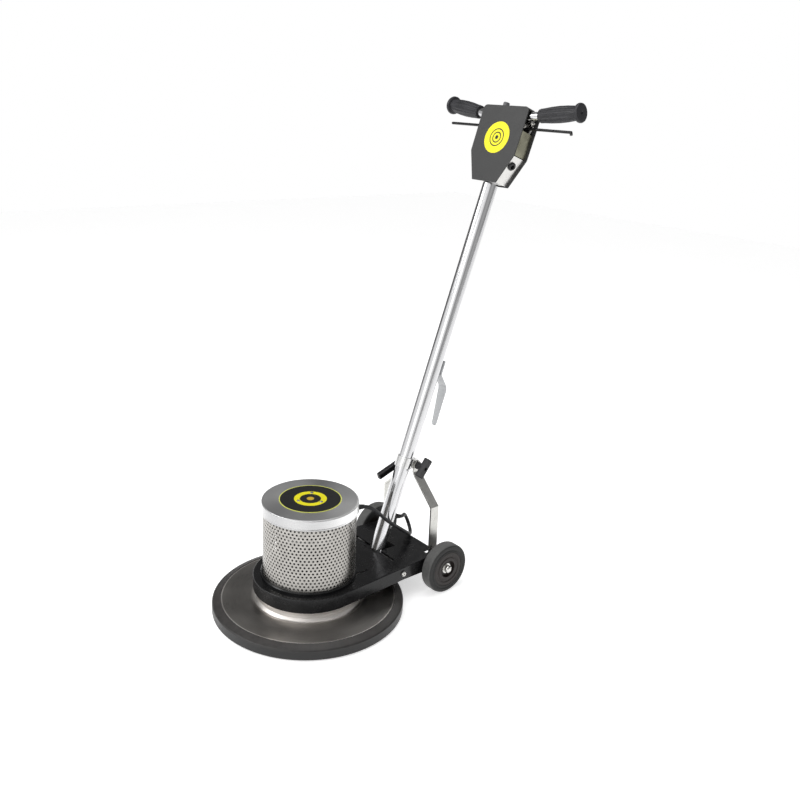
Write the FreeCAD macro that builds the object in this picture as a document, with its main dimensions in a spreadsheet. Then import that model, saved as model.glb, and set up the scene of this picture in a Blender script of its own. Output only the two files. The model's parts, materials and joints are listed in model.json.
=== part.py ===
import FreeCAD, Part
import math
import os
import Sketcher

# High speed burnisher, millimetres.  +Z up, origin on the floor under the centre of the deck.
# The motor end faces -Y and the operator stands at +Y.  Left and right are at -X and +X.

os.makedirs("parts", exist_ok=True)
doc = FreeCAD.newDocument("burnisher")
sheet = doc.addObject("Spreadsheet::Sheet", "Dims")
V = FreeCAD.Vector

SIZES = [
    # deck, bumper and pad
    ("bumper_radius", 231.0, "outside radius of the rubber bumper"),
    ("bumper_bottom", 2.0, "height of the bumper's lower edge"),
    ("bumper_side_top", 24.4, "top of the bumper's upright side"),
    ("bumper_wall", 7.0, "thickness of the bumper's upright side"),
    ("bumper_lip", 14.0, "width of the lip that lies over the deck's edge"),
    ("deck_sheet", 2.0, "thickness of the deck's spun sheet"),
    ("deck_face_height", 32.5, "height of the deck's flat ring at its outer edge"),
    ("deck_wall_radius", 125.0, "outside of the step's wall"),
    ("deck_step", 7.0, "how far the foot of the step stands out from its wall"),
    ("deck_top", 89.0, "top of the deck's raised centre"),
    ("pad_gap", 6.1, "gap between the pad and the deck's rim"),
    ("pad_thickness", 15.0, "thickness of the pad"),
    ("pad_hole", 40.0, "radius of the pad's centre hole"),
    ("driver_inset", 12.9, "how far the pad reaches past its driver"),
    ("driver_thickness", 9.0, "thickness of the pad driver's disc"),
    # chassis
    ("plate_sheet", 3.0, "thickness of the chassis plate"),
    ("plate_overhang", 9.0, "how far the plate's round front reaches past the deck's wall"),
    ("plate_taper", 3.69, "angle of each side of the plate, degrees"),
    ("plate_tail", 3.0, "how far the plate reaches behind the axle"),
    ("flange_height", 33.5, "height of the turned-down edge"),
    ("slot_half", 77.5, "half length of the cross slot"),
    ("slot_width", 14.0, "width of the cross slot over the pivot"),
    ("neck_gap", 3.45, "gap each side of the tube where it passes the plate"),
    ("neck_reach", 53.5, "how far the tube's opening reaches behind the pivot"),
    ("neck_lead", 12.0, "how far the tube's opening reaches before the pivot"),
    ("small_slot_x", 77.0, "distance of the two small slots from the middle"),
    # wheels
    ("wheel_gap", 23.0, "gap between the bumper and the wheels, seen from above"),
    ("wheel_radius", 63.5, "radius of the five inch wheel, also the axle's height"),
    ("wheel_width", 31.8, "width of the wheel"),
    ("wheel_x", 138.3, "centre of each wheel from the middle"),
    ("axle_radius", 6.35, "radius of the half inch axle"),
    ("hub_radius", 45.0, "radius of the wheel's hub moulding"),
    # motor and cover
    ("cover_radius", 111.0, "outside radius of the perforated sleeve"),
    ("cover_sheet", 1.2, "thickness of the perforated sleeve"),
    ("cap_overlap", 5.2, "how far the cap stands out from the sleeve"),
    ("cap_top", 282.4, "height of the cap's top face"),
    ("cap_skirt", 28.0, "height of the cap's skirt"),
    ("cap_sheet", 1.5, "thickness of the cap"),
    ("ring_height", 7.0, "height of the ring at the sleeve's foot"),
    ("hole_columns", 46.0, "number of holes round the sleeve"),
    ("hole_rows", 15.0, "number of rows of holes"),
    ("hole_radius", 2.6, "radius of each hole in the sleeve"),
    ("hole_pitch", 9.6, "height between rows of holes"),
    ("shell_radius", 80.0, "outside radius of the motor"),
    ("shell_wall", 6.0, "wall of the motor's steel shell"),
    ("shell_bottom", 112.0, "lower end of the steel shell"),
    ("shell_top", 205.0, "upper end of the steel shell"),
    ("shaft_radius", 8.0, "radius of the armature shaft"),
    ("bearing_radius", 17.5, "outside radius of the shaft's ball bearings"),
    ("label_radius", 74.0, "radius of the label on the cap"),
    ("label_screw_radius", 31.0, "radius of the circle of cap screws"),
    # handle
    ("tilt", 19.1, "lean of the handle from upright, degrees"),
    ("pivot_lead", 121.0, "pivot's distance in front of the axle"),
    ("pivot_z", 76.0, "pivot's height"),
    ("tube_radius", 19.05, "radius of the one and a half inch handle tube"),
    ("tube_wall", 2.0, "wall of the handle tube"),
    ("tube_set_back", 10.5, "the tube's centre line behind the pivot"),
    ("tube_top", 1110.0, "upper end of the tube, from the pivot"),
    ("pivot_tube_radius", 12.7, "radius of the cross tube at the foot of the handle"),
    # brace and clamp
    ("clamp_s", 250.0, "clamp bolt's distance up the handle"),
    ("clamp_b", 39.0, "clamp bolt's distance behind the pivot line"),
    ("clamp_height", 27.0, "height of the clamp"),
    ("clamp_wall", 3.5, "wall of the clamp's ring"),
    ("clamp_bolt_radius", 4.0, "radius of the clamp bolt"),
    ("strap_width", 25.0, "width of the brace strap"),
    ("strap_sheet", 4.5, "thickness of the brace strap"),
    ("strap_x", 92.0, "strap's distance from the middle at the axle"),
    ("strap_bend_z", 210.0, "height of the strap's outer bend"),
    ("eye_x", 16.5, "inner face of the strap at the clamp bolt"),
    ("foot_hole_radius", 9.0, "radius of the strap's hole round the axle"),
    ("knob_bar_x", 36.7, "inner face of the knob's cross bar"),
    # head
    ("head_rise", 67.0, "top of the head above the tube's end"),
    ("knee_drop", 53.0, "knee of the head's outline below the tube's end"),
    ("head_drop", 126.0, "bottom of the head below the tube's end"),
    ("head_top_half", 77.0, "half width of the head at its top"),
    ("head_knee_half", 75.0, "half width of the head at its knee"),
    ("head_bottom_half", 41.0, "half width of the head at its bottom"),
    ("head_front", -17.5, "front face of the head, from the pivot line"),
    ("head_rear", 32.5, "rear face of the head, from the pivot line"),
    ("head_sheet", 2.5, "thickness of the head's sheet"),
    ("decal_radius", 40.0, "radius of the round emblem on the head"),
    ("bar_radius", 11.1, "radius of the seven eighths inch handlebar"),
    ("grip_radius", 17.5, "radius of the grip"),
    ("grip_length", 118.0, "length of the grip"),
    ("lever_radius", 3.5, "radius of the lever rod"),
    ("lever_half", 202.0, "half length of the lever rod"),
    ("lever_rise", 20.5, "lever rod's height above the tube's end"),
    ("lever_b", 10.5, "lever rod's distance behind the pivot line"),
    # motor lead
    ("lead_radius", 4.6, "radius of the motor lead"),
    ("gland_turn", 70.0, "direction of the lead's gland round the cover, degrees"),
    ("gland_z", 246.0, "height of the lead's gland"),
]


class Size:
    """A length or angle that knows both its value and its expression in the sheet."""

    def __init__(self, value, text):
        self.value = float(value)
        self.text = text

    def __float__(self):
        return self.value

    def __add__(self, other):
        other = size(other)
        return Size(self.value + other.value, "(%s + %s)" % (self.text, other.text))

    def __radd__(self, other):
        return size(other) + self

    def __sub__(self, other):
        other = size(other)
        return Size(self.value - other.value, "(%s - %s)" % (self.text, other.text))

    def __rsub__(self, other):
        return size(other) - self

    def __mul__(self, other):
        other = size(other)
        return Size(self.value * other.value, "(%s * %s)" % (self.text, other.text))

    def __rmul__(self, other):
        return size(other) * self

    def __truediv__(self, other):
        other = size(other)
        return Size(self.value / other.value, "(%s / %s)" % (self.text, other.text))

    def __neg__(self):
        return Size(-self.value, "(0 - %s)" % self.text)


def size(value):
    """Turns a plain number into a Size."""
    if isinstance(value, Size):
        return value
    return Size(value, "%.6g" % value)


D = {}
for row, (alias, number, note) in enumerate(SIZES, start=1):
    sheet.set("A%d" % row, alias)
    sheet.set("B%d" % row, "%g" % number)
    sheet.set("C%d" % row, note)
    sheet.setAlias("B%d" % row, alias)
doc.recompute()
for alias, number, note in SIZES:
    D[alias] = Size(float(sheet.get(alias)), "Dims.%s" % alias)

# sizes that follow from the driving ones
D["rim_radius"] = D["bumper_radius"] - D["bumper_wall"]
D["bumper_lip_radius"] = D["rim_radius"] - D["bumper_lip"]
D["deck_step_radius"] = D["deck_wall_radius"] + D["deck_step"]
D["pad_radius"] = D["rim_radius"] - D["deck_sheet"] - D["pad_gap"]
D["driver_radius"] = D["pad_radius"] - D["driver_inset"]
D["plate_top"] = D["deck_top"] + D["plate_sheet"]
D["plate_radius"] = D["deck_wall_radius"] + D["plate_overhang"]
D["axle_y"] = D["bumper_radius"] + D["wheel_radius"] + D["wheel_gap"]
D["plate_rear"] = D["axle_y"] + D["plate_tail"]
D["pivot_y"] = D["axle_y"] - D["pivot_lead"]
D["cap_radius"] = D["cover_radius"] + D["cap_overlap"]
D["head_top"] = D["tube_top"] + D["head_rise"]
D["head_knee"] = D["tube_top"] - D["knee_drop"]
D["head_bottom"] = D["tube_top"] - D["head_drop"]
D["lever_s"] = D["tube_top"] + D["lever_rise"]


def val(name):
    """The sheet's number for one alias."""
    return D[name].value


nodes = []
TILT = val("tilt")
TURN = math.radians(TILT)
HANDLE = FreeCAD.Placement(
    V(0, val("pivot_y"), val("pivot_z")), FreeCAD.Rotation(V(1, 0, 0), -TILT)
)
HERE = FreeCAD.Placement()


def on_handle(x=0, y=0, z=0, rotation=None):
    """A placement given in the leaning frame of the handle, whose Z runs up the tube."""
    local = FreeCAD.Placement(V(x, y, z), rotation or FreeCAD.Rotation())
    return HANDLE.multiply(local)


def at(x=0, y=0, z=0, rotation=None):
    """A placement in the frame of the whole machine."""
    return FreeCAD.Placement(V(x, y, z), rotation or FreeCAD.Rotation())


def plane_of(body, role):
    """The body's own origin plane with this role."""
    for feature in body.Origin.OriginFeatures:
        if feature.Role == role:
            return feature
    raise ValueError(role)


def new_body(name):
    body = doc.addObject("PartDesign::Body", name)
    body.Label = name
    return body


def draw(body, name, role, loops):
    """A sketch of closed loops: lists of (x, y) sizes, or circles ("circle", x, y, radius)."""
    sketch = body.newObject("Sketcher::SketchObject", name)
    sketch.AttachmentSupport = [(plane_of(body, role), "")]
    sketch.MapMode = "FlatFace"
    bound = []
    for loop in loops:
        if loop[0] == "circle":
            x, y, r = [size(v) for v in loop[1:]]
            circle = Part.Circle(V(x.value, y.value, 0), V(0, 0, 1), r.value)
            g = sketch.addGeometry(circle, False)
            rule = sketch.addConstraint(Sketcher.Constraint("Radius", g, r.value))
            bound.append((rule, r))
            for kind, v in (("DistanceX", x), ("DistanceY", y)):
                rule = sketch.addConstraint(Sketcher.Constraint(kind, -1, 1, g, 3, v.value))
                bound.append((rule, v))
            continue
        pts = [(size(x), size(y)) for x, y in loop]
        lines = []
        for i, (x, y) in enumerate(pts):
            x2, y2 = pts[(i + 1) % len(pts)]
            line = Part.LineSegment(V(x.value, y.value, 0), V(x2.value, y2.value, 0))
            lines.append(sketch.addGeometry(line, False))
        for i, g in enumerate(lines):
            after = lines[(i + 1) % len(lines)]
            sketch.addConstraint(Sketcher.Constraint("Coincident", g, 2, after, 1))
        for g, (x, y) in zip(lines, pts):
            for kind, v in (("DistanceX", x), ("DistanceY", y)):
                rule = sketch.addConstraint(Sketcher.Constraint(kind, -1, 1, g, 1, v.value))
                bound.append((rule, v))
    for rule, v in bound:
        if "Dims" in v.text:
            sketch.setExpression("Constraints[%d]" % rule, v.text)
    return sketch


def finish(body, placement):
    body.Placement = placement
    nodes.append(body)
    return body


def spin(name, points, placement=HERE, holes=(), rounds=(), cuts=()):
    """A body turned about its own Z axis from a profile of (radius, height) points."""
    body = new_body(name)
    sketch = draw(body, name + "_profile", "XZ_Plane", [points])
    turned = body.newObject("PartDesign::Revolution", name + "_turned")
    turned.Profile = sketch
    turned.ReferenceAxis = (sketch, ["V_Axis"])
    turned.Angle = 360
    if holes:
        drill = draw(body, name + "_holes", "XY_Plane", list(holes))
        pocket = body.newObject("PartDesign::Pocket", name + "_drilled")
        pocket.Profile = drill
        pocket.Type = 1
        pocket.Midplane = True
    doc.recompute()
    for radius, height, fillet in rounds:
        round_edges(body, float(radius), float(height), fillet)
    return finish(body, placement)


def round_edges(body, radius, height, fillet):
    """Rounds the circular edge that lies at this radius and height."""
    names = []
    for i, edge in enumerate(body.Shape.Edges, start=1):
        if not isinstance(edge.Curve, Part.Circle):
            continue
        centre = edge.Curve.Center
        if abs(edge.Curve.Radius - radius) < 0.05 and abs(centre.z - height) < 0.05:
            names.append("Edge%d" % i)
    if not names:
        print("no edge", body.Label, radius, height)
        return
    base = body.Tip
    feature = body.newObject("PartDesign::Fillet", "%s_round%d" % (body.Name, len(body.Group)))
    feature.Base = (base, names)
    feature.Radius = fillet
    body.Tip = feature
    doc.recompute()


def solid(name, shape, placement=HERE):
    """A shape built from the sheet's sizes in code, for groups and bent or cut pieces."""
    feature = doc.addObject("Part::Feature", name)
    feature.Label = name
    feature.Shape = shape
    feature.Placement = placement.multiply(shape.Placement)
    nodes.append(feature)
    return feature


def rod(radius, x0, x1, y=0.0, z=0.0):
    """A cylinder along X."""
    return Part.makeCylinder(radius, x1 - x0, V(x0, y, z), V(1, 0, 0))


def ring(outer, inner, z0, z1):
    """An upright ring."""
    tube = Part.makeCylinder(outer, z1 - z0, V(0, 0, z0))
    return tube.cut(Part.makeCylinder(inner, z1 - z0 + 2, V(0, 0, z0 - 1)))


def hexagon(across, height, base=None, direction=None):
    """A hexagonal prism along Z."""
    r = across / math.sqrt(3)
    pts = [V(r * math.cos(math.radians(60 * i)), r * math.sin(math.radians(60 * i)), 0)
           for i in range(7)]
    prism = Part.Face(Part.makePolygon(pts)).extrude(V(0, 0, height))
    if direction is not None:
        prism.Placement = FreeCAD.Placement(V(0, 0, 0), FreeCAD.Rotation(V(0, 0, 1), direction))
    if base is not None:
        prism.translate(base)
    return prism


def group(shapes):
    return Part.makeCompound(shapes)


def mirrored(shape):
    return shape.mirror(V(0, 0, 0), V(1, 0, 0))


def around(shape, count, start=0.0):
    """Copies of a shape turned round Z."""
    copies = []
    for i in range(count):
        copy = shape.copy()
        copy.rotate(V(0, 0, 0), V(0, 0, 1), start + 360.0 * i / count)
        copies.append(copy)
    return copies


# ---------------------------------------------------------------- deck, pad and bumper
deck = D["deck_sheet"]
face = D["deck_face_height"]
rim = D["rim_radius"]
step = D["deck_step_radius"]
wall = D["deck_wall_radius"]
top = D["deck_top"]
lip = D["bumper_lip_radius"]
spin("deck_housing", [
    (0, top - 3), (wall - deck, top - 3), (wall - deck, face + 6), (step, face),
    (lip, face - deck - 1), (rim - deck, face - 9.5), (rim - deck, 8), (rim, 8),
    (rim, face - 8), (lip, face - 1), (step, face + 1.5), (wall + 1, face + 8),
    (wall, face + 14), (wall, top), (0, top),
], holes=[("circle", 0, 0, 60)] + [
    ("circle", 88 * math.cos(math.radians(a)), 88 * math.sin(math.radians(a)), 4)
    for a in (45, 135, 225, 315)
], rounds=[(wall, top, 5), (step, face + 1.5, 6), (rim, face - 8, 2)])

outer = D["bumper_radius"]
low = D["bumper_bottom"]
side = D["bumper_side_top"]
spin("bumper", [
    (rim, low + 1.5), (rim + 1.5, low), (outer - 2, low), (outer, low + 2), (outer, side),
    (outer - 2.5, side + 2.5), (lip + 1, face + 0.6), (lip, face - 0.4), (lip, face - 1),
    (rim, face - 8),
], rounds=[(outer, side, 1.5)])

pad_r = D["pad_radius"]
pad_t = D["pad_thickness"]
spin("floor_pad", [
    (D["pad_hole"], 0), (pad_r - 1, 0), (pad_r, 1), (pad_r, pad_t - 1), (pad_r - 1, pad_t),
    (D["pad_hole"], pad_t),
])
shaft_r = D["shaft_radius"]
drive_top = pad_t + D["driver_thickness"]
spin("pad_driver", [
    (shaft_r, pad_t), (D["driver_radius"], pad_t), (D["driver_radius"], drive_top),
    (52, drive_top), (46, drive_top + 10), (28, drive_top + 12), (26, drive_top + 24),
    (shaft_r, drive_top + 24),
], rounds=[(D["driver_radius"], drive_top, 2)])
spin("pad_lock", [
    (14, 4), (33, 3), (38.5, 5), (39.5, pad_t), (14, pad_t),
])
bolt = hexagon(16, 8, V(0, 0, 5)).fuse(Part.makeCylinder(13, 2, V(0, 0, 13)))
bolt = bolt.fuse(Part.makeCylinder(4, 28, V(0, 0, 15)))
solid("driver_bolt", bolt)

# ---------------------------------------------------------------- chassis plate
taper = math.radians(val("plate_taper"))
p_top = val("plate_top")
p_sheet = val("plate_sheet")
p_rad = val("plate_radius")
p_rear = val("plate_rear")
axle_y = val("axle_y")
axle_z = val("wheel_radius")
pivot_y = val("pivot_y")
pivot_z = val("pivot_z")
neck_half = val("tube_radius") + val("neck_gap")


def side_x(y, inset=0.0):
    """Distance from the middle to the plate's tapered side at y."""
    return (p_rad - inset) / math.cos(taper) - y * math.tan(taper)


def plate_face(inset, rear):
    """The plate's outline, moved inward by inset, as a face at height 0."""
    r = p_rad - inset
    tx, ty = r * math.cos(taper), r * math.sin(taper)
    arc = Part.Arc(V(tx, ty, 0), V(0, -r, 0), V(-tx, ty, 0)).toShape()
    xr = side_x(rear, inset)
    legs = Part.makePolygon([V(-tx, ty, 0), V(-xr, rear, 0), V(xr, rear, 0), V(tx, ty, 0)])
    return Part.Face(Part.Wire([arc] + legs.Edges))


plate = plate_face(0, p_rear).extrude(V(0, 0, val("flange_height")))
plate.translate(V(0, 0, p_top - val("flange_height")))
hollow = plate_face(p_sheet, p_rear + 30).extrude(V(0, 0, 200))
hollow.translate(V(0, 0, p_top - p_sheet - 200))
edges = [e for e in plate.Edges if abs(e.CenterOfMass.z - p_top) < 0.01
         and e.CenterOfMass.y < p_rear - 1]
plate = plate.makeFillet(2.5, edges)
# an ear round the axle at the rear of each flange
ear_r = 15.0
xo = side_x(axle_y, 0)
for sign in (1, -1):
    ear = Part.makeCylinder(ear_r, 14, V(xo - 7, axle_y, axle_z), V(1, 0, 0))
    ear = ear.fuse(Part.makeBox(14, 2 * ear_r, p_top - axle_z - 4,
                                V(xo - 7, axle_y - ear_r, axle_z)))
    band = plate_face(0, axle_y + 40).cut(plate_face(p_sheet, axle_y + 60))
    band = band.extrude(V(0, 0, 90))
    band.translate(V(0, 0, 10))
    ear = ear.common(band)
    if sign < 0:
        ear = mirrored(ear)
    plate = plate.fuse(ear)
plate = plate.cut(hollow)
cutters = [
    Part.makeBox(2 * val("slot_half"), val("slot_width"), 20,
                 V(-val("slot_half"), pivot_y - val("slot_width") / 2, p_top - 10)),
    Part.makeBox(2 * neck_half, val("neck_reach") + val("neck_lead"), 20,
                 V(-neck_half, pivot_y - val("neck_lead"), p_top - 10)),
    Part.makeCylinder(60, 20, V(0, 0, p_top - 10)),
]
for sign in (1, -1):
    x = sign * val("small_slot_x")
    cutters.append(Part.makeBox(7, 44, 20, V(x - 3.5, 72, p_top - 10)))
    cutters.append(Part.makeCylinder(3.5, 20, V(x, 116, p_top - 10)))
    strap = sign * val("strap_x")
    cutters.append(Part.makeBox(val("strap_sheet") + 7, 60, 20,
                                V(strap - val("strap_sheet") / 2 - 3.5,
                                  axle_y - val("strap_width") - 2.5, p_top - 10)))
for a in (45, 135, 225, 315):
    c, s = math.cos(math.radians(a)), math.sin(math.radians(a))
    cutters.append(Part.makeCylinder(4, 20, V(88 * c, 88 * s, p_top - 10)))
cutters.append(rod(val("axle_radius"), -200, 200, axle_y, axle_z))
cutters.append(rod(5, -200, 200, pivot_y, pivot_z))
for cutter in cutters:
    plate = plate.cut(cutter)
solid("chassis_plate", plate.removeSplitter())

# ---------------------------------------------------------------- motor
ring_top = D["plate_top"] + D["ring_height"]
spin("cover_base_ring", [
    (103, D["plate_top"]), (116, D["plate_top"]), (116, ring_top - 2), (114, ring_top),
    (103, ring_top),
])
shell = D["shell_radius"]
s_bot = D["shell_bottom"]
s_top = D["shell_top"]
p_height = D["plate_top"]
bear = D["bearing_radius"]
spin("motor_lower_bell", [
    (shaft_r + 1.5, p_height - 7), (60, p_height - 7), (60, p_height), (96, p_height),
    (96, p_height + 6), (shell, p_height + 6), (shell, s_bot), (46, s_bot),
    (40, p_height + 8), (bear + 6, p_height + 8), (bear + 6, s_bot - 4), (bear, s_bot - 4),
    (bear, p_height + 2), (shaft_r + 1.5, p_height + 2),
], holes=[("circle", 88 * math.cos(math.radians(a)), 88 * math.sin(math.radians(a)), 4)
          for a in (45, 135, 225, 315)])
spin("motor_shell", [
    (shell - D["shell_wall"], s_bot), (shell, s_bot), (shell, s_top),
    (shell - D["shell_wall"], s_top),
])
magnet_out = val("shell_radius") - val("shell_wall")
magnet = ring(magnet_out, 60, val("shell_bottom") + 8, val("shell_top") - 8)
wedge = Part.Face(Part.makePolygon([
    V(0, 0, 0), V(200, -118, 0), V(200, 118, 0), V(0, 0, 0)])).extrude(V(0, 0, 400))
solid("motor_magnets", group(around(magnet.common(wedge), 4)))
core = ring(58.5, val("shaft_radius"), 126, 190)
for slot in around(Part.makeBox(12, 4, 80, V(48, -2, 120)), 16):
    core = core.cut(slot)
solid("armature_core", core)
solid("armature_windings", group([
    ring(47, val("shaft_radius"), 190, 201), ring(47, val("shaft_radius"), 115, 126)]))
spin("commutator", [
    (shaft_r, 206), (24, 206), (24, 209), (22, 209), (22, 224), (shaft_r, 224),
])
spin("motor_upper_bell", [
    (46, s_top), (shell, s_top), (shell, s_top + 5), (54, s_top + 9), (54, s_top + 30),
    (50, s_top + 34), (shaft_r + 1.5, s_top + 34), (shaft_r + 1.5, s_top + 31),
    (bear, s_top + 31), (bear, s_top + 20), (bear + 5, s_top + 20), (bear + 5, s_top + 28),
    (46, s_top + 28),
], rounds=[(shell, s_top + 5, 2)])
brush = Part.makeBox(23, 10, 8, V(22.4, -5, val("shell_top") + 8))
bound_cup = Part.makeCylinder(46, 60, V(0, 0, 190))
solid("motor_brushes", group(around(brush.common(bound_cup), 4, 45)))
races = []
for seat in (p_height + 2, s_top + 20):
    races.append(ring(bear.value, shaft_r.value + 0.05, seat.value, seat.value + 11))
solid("shaft_bearings", group(races))
shaft = Part.makeCylinder(val("shaft_radius"), 245, V(0, 0, 17))
shaft = shaft.cut(Part.makeCylinder(4, 35, V(0, 0, 16)))
shaft = shaft.makeChamfer(1, [e for e in shaft.Edges if abs(e.CenterOfMass.z - 262) < 0.01])
solid("armature_shaft", shaft)
fan = ring(68, val("shaft_radius"), 243, 245).fuse(ring(15, val("shaft_radius"), 243, 257))
for blade in around(Part.makeBox(50, 2.5, 12, V(16, 0, 245)), 9):
    fan = fan.fuse(blade)
solid("cooling_fan", fan.removeSplitter())
block = Part.makeBox(33, 46, 58, V(-105, -23, 132))
block = block.cut(Part.makeCylinder(val("shell_radius"), 200, V(0, 0, 80)))
for i in range(5):
    block = block.cut(Part.makeBox(4, 60, 6, V(-106, -30, 138 + 10.5 * i)))
solid("rectifier", block)
cap_screw = hexagon(13, 6, V(88, 0, p_height.value + 6))
cap_screw = cap_screw.fuse(Part.makeCylinder(4, 20, V(88, 0, p_height.value - 14)))
nut = hexagon(13, 6, V(88, 0, val("deck_top") - 9))
nut = nut.cut(Part.makeCylinder(4, 40, V(88, 0, val("deck_top") - 30)))
solid("motor_bolts", group(around(cap_screw, 4, 45) + around(nut, 4, 45)))

# perforated sleeve, cap and label
c_rad = val("cover_radius")
c_top = val("cap_top") - val("cap_sheet")
sleeve = ring(c_rad, c_rad - val("cover_sheet"), ring_top.value, c_top)
columns = int(round(val("hole_columns")))
rows = int(round(val("hole_rows")))
gland_turn = val("gland_turn")
gland_z = val("gland_z")
tools = []
for row in range(rows):
    z = ring_top.value + 8 + row * val("hole_pitch")
    for column in range(columns):
        turn = 360.0 * (column + 0.5 * (row % 2)) / columns
        if abs(turn - gland_turn) < 8 and abs(z - gland_z) < 16:
            continue
        if z > c_top - 6:
            continue
        hole = Part.makeCylinder(val("hole_radius"), 6, V(c_rad - 4, 0, z), V(1, 0, 0))
        hole.rotate(V(0, 0, 0), V(0, 0, 1), turn)
        tools.append(hole)
port = Part.makeCylinder(6, 8, V(c_rad - 4, 0, gland_z), V(1, 0, 0))
port.rotate(V(0, 0, 0), V(0, 0, 1), gland_turn)
tools.append(port)
sleeve = sleeve.cut(group(tools))
solid("perforated_cover", sleeve)
cap_r = D["cap_radius"]
cap_t = D["cap_top"]
cap_s = D["cap_sheet"]
skirt = D["cap_skirt"]
spin("cover_cap", [
    (0, cap_t - cap_s), (cap_r - cap_s, cap_t - cap_s), (cap_r - cap_s, cap_t - skirt),
    (cap_r, cap_t - skirt), (cap_r, cap_t - 2), (cap_r - 2, cap_t), (0, cap_t),
], holes=[("circle", 31 * math.cos(math.radians(a)), 31 * math.sin(math.radians(a)), 2)
          for a in (20, 140, 260)])
spider = Part.makeCylinder(38, 4, V(0, 0, c_top - 4))
inner_r = c_rad - val("cover_sheet")
for arm in around(Part.makeBox(inner_r + 2, 16, 4, V(0, -8, c_top - 4)), 3):
    spider = spider.fuse(arm)
for arm in around(Part.makeBox(2, 16, 16, V(inner_r - 2.2, -8, c_top - 16)), 3):
    spider = spider.fuse(arm)
spider = spider.common(Part.makeCylinder(inner_r, 60, V(0, 0, c_top - 50)))
screw_r = val("label_screw_radius")
for hole in around(Part.makeCylinder(2, 20, V(screw_r, 0, c_top - 10)), 3, 20):
    spider = spider.cut(hole)
solid("cap_bridge", spider.removeSplitter())
label = Part.makeCylinder(val("label_radius"), 0.5, V(0, 0, val("cap_top")))
for hole in around(Part.makeCylinder(2, 20, V(screw_r, 0, val("cap_top") - 10)), 3, 20):
    label = label.cut(hole)
solid("cap_label", label)
screw = Part.makeCylinder(4, 1.8, V(screw_r, 0, val("cap_top") + 0.5))
screw = screw.makeFillet(1.2, [e for e in screw.Edges
                               if abs(e.CenterOfMass.z - val("cap_top") - 2.3) < 0.01])
screw = screw.fuse(Part.makeCylinder(2, 7, V(screw_r, 0, val("cap_top") - 6.5)))
screw = screw.cut(Part.makeBox(10, 1, 1, V(screw_r - 5, -0.5, val("cap_top") + 1.6)))
solid("cap_screws", group(around(screw, 3, 20)))

# ---------------------------------------------------------------- motor lead and its fittings
g_dir = V(math.cos(math.radians(gland_turn)), math.sin(math.radians(gland_turn)), 0)
lead_r = val("lead_radius")
GROMMET_S = 104


def lathe(points, base, direction):
    """A solid turned from (radius, distance) points about a line."""
    pts = [V(r, 0, d) for r, d in points]
    turned = Part.Face(Part.makePolygon(pts + [pts[0]])).revolve(V(0, 0, 0), V(0, 0, 1), 360)
    rotation = FreeCAD.Rotation(V(0, 0, 1), direction)
    turned.Placement = FreeCAD.Placement(base, rotation)
    return turned


gland = lathe([(0, -4), (8.5, -4), (8.5, -1.6), (6, -1.6), (6, 0.2), (8, 0.2), (8, 4),
               (7.5, 6), (7, 14), (0, 14)], g_dir * c_rad + V(0, 0, gland_z), g_dir)
sleeve_hull = ring(c_rad, c_rad - val("cover_sheet"), gland_z - 30, gland_z + 30)
gland_neck = Part.makeCylinder(6, c_rad + 40, V(0, 0, gland_z), g_dir)
gland = gland.cut(sleeve_hull.cut(gland_neck))
solid("lead_gland", gland)


def lead_path():
    """Waypoints of the motor lead from its gland to the handle tube's grommet."""
    start = g_dir * (c_rad + 14) + V(0, 0, gland_z)
    end = HANDLE.multVec(V(0, tube_b + val("tube_radius") + 13, GROMMET_S))
    points = [start, start + g_dir * 18]
    loop = ((48, 164, 224), (40, 202, 186), (33, 238, 157), (28, 272, 131), (18, 303, 107),
            (-4, 326, 98), (-26, 334, 117), (-24, 318, 146))
    for p in loop:
        points.append(V(*p))
    points.append(end + HANDLE.Rotation.multVec(V(0, 22, 0)))
    points.append(end)
    return points


def sweep(points, radius, fraction=0.45):
    """A round cord of straight runs joined by tangent arcs."""
    parts = []
    last = points[0]
    for i in range(1, len(points) - 1):
        a, b, c = points[i - 1], points[i], points[i + 1]
        u = (b - a).normalize()
        w = (c - b).normalize()
        half = u.getAngle(w) / 2
        reach = fraction * min((b - a).Length, (c - b).Length)
        bend = reach / math.tan(half)
        p = b - u * reach
        q = b + w * reach
        out = (w - u).normalize()
        m = b + out * (bend / math.cos(half) - bend)
        print("lead run %.0f turn %.0f radius %.0f" % ((b - a).Length, math.degrees(2 * half), bend))
        parts.append(Part.LineSegment(last, p).toShape())
        parts.append(Part.Arc(p, m, q).toShape())
        last = q
    parts.append(Part.LineSegment(last, points[-1]).toShape())
    wire = Part.Wire(parts)
    length = wire.Length
    circle = Part.makeCircle(radius, points[0], points[1] - points[0])
    body = wire.makePipeShell([Part.Wire([circle])], True, True)
    print("lead length %.0f volume ratio %.4f"
          % (length, body.Volume / (math.pi * radius * radius * length)))
    return body


# ---------------------------------------------------------------- handle tube and pivot
tube_b = val("tube_set_back")
t_rad = val("tube_radius")
t_in = t_rad - val("tube_wall")
tube = Part.makeCylinder(t_rad, val("tube_top") + 13, V(0, tube_b, -13))
tube = tube.cut(Part.makeCylinder(t_in, val("tube_top") + 20, V(0, tube_b, -15)))
tube = tube.cut(rod(val("pivot_tube_radius"), -60, 60))
grommet_way = V(0, 1, 0)
tube = tube.cut(Part.makeCylinder(6, 30, V(0, tube_b, GROMMET_S), grommet_way))
for s in (516, 496):
    tube = tube.cut(Part.makeCylinder(2.5, 30, V(0, tube_b + 10, s), V(0, 1, 0)))
solid("handle_tube", tube, HANDLE)
end_x = side_x(pivot_y + val("pivot_tube_radius"), p_sheet) - 0.6
cross = rod(val("pivot_tube_radius"), -end_x, end_x).cut(rod(5.05, -end_x - 1, end_x + 1))
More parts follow.
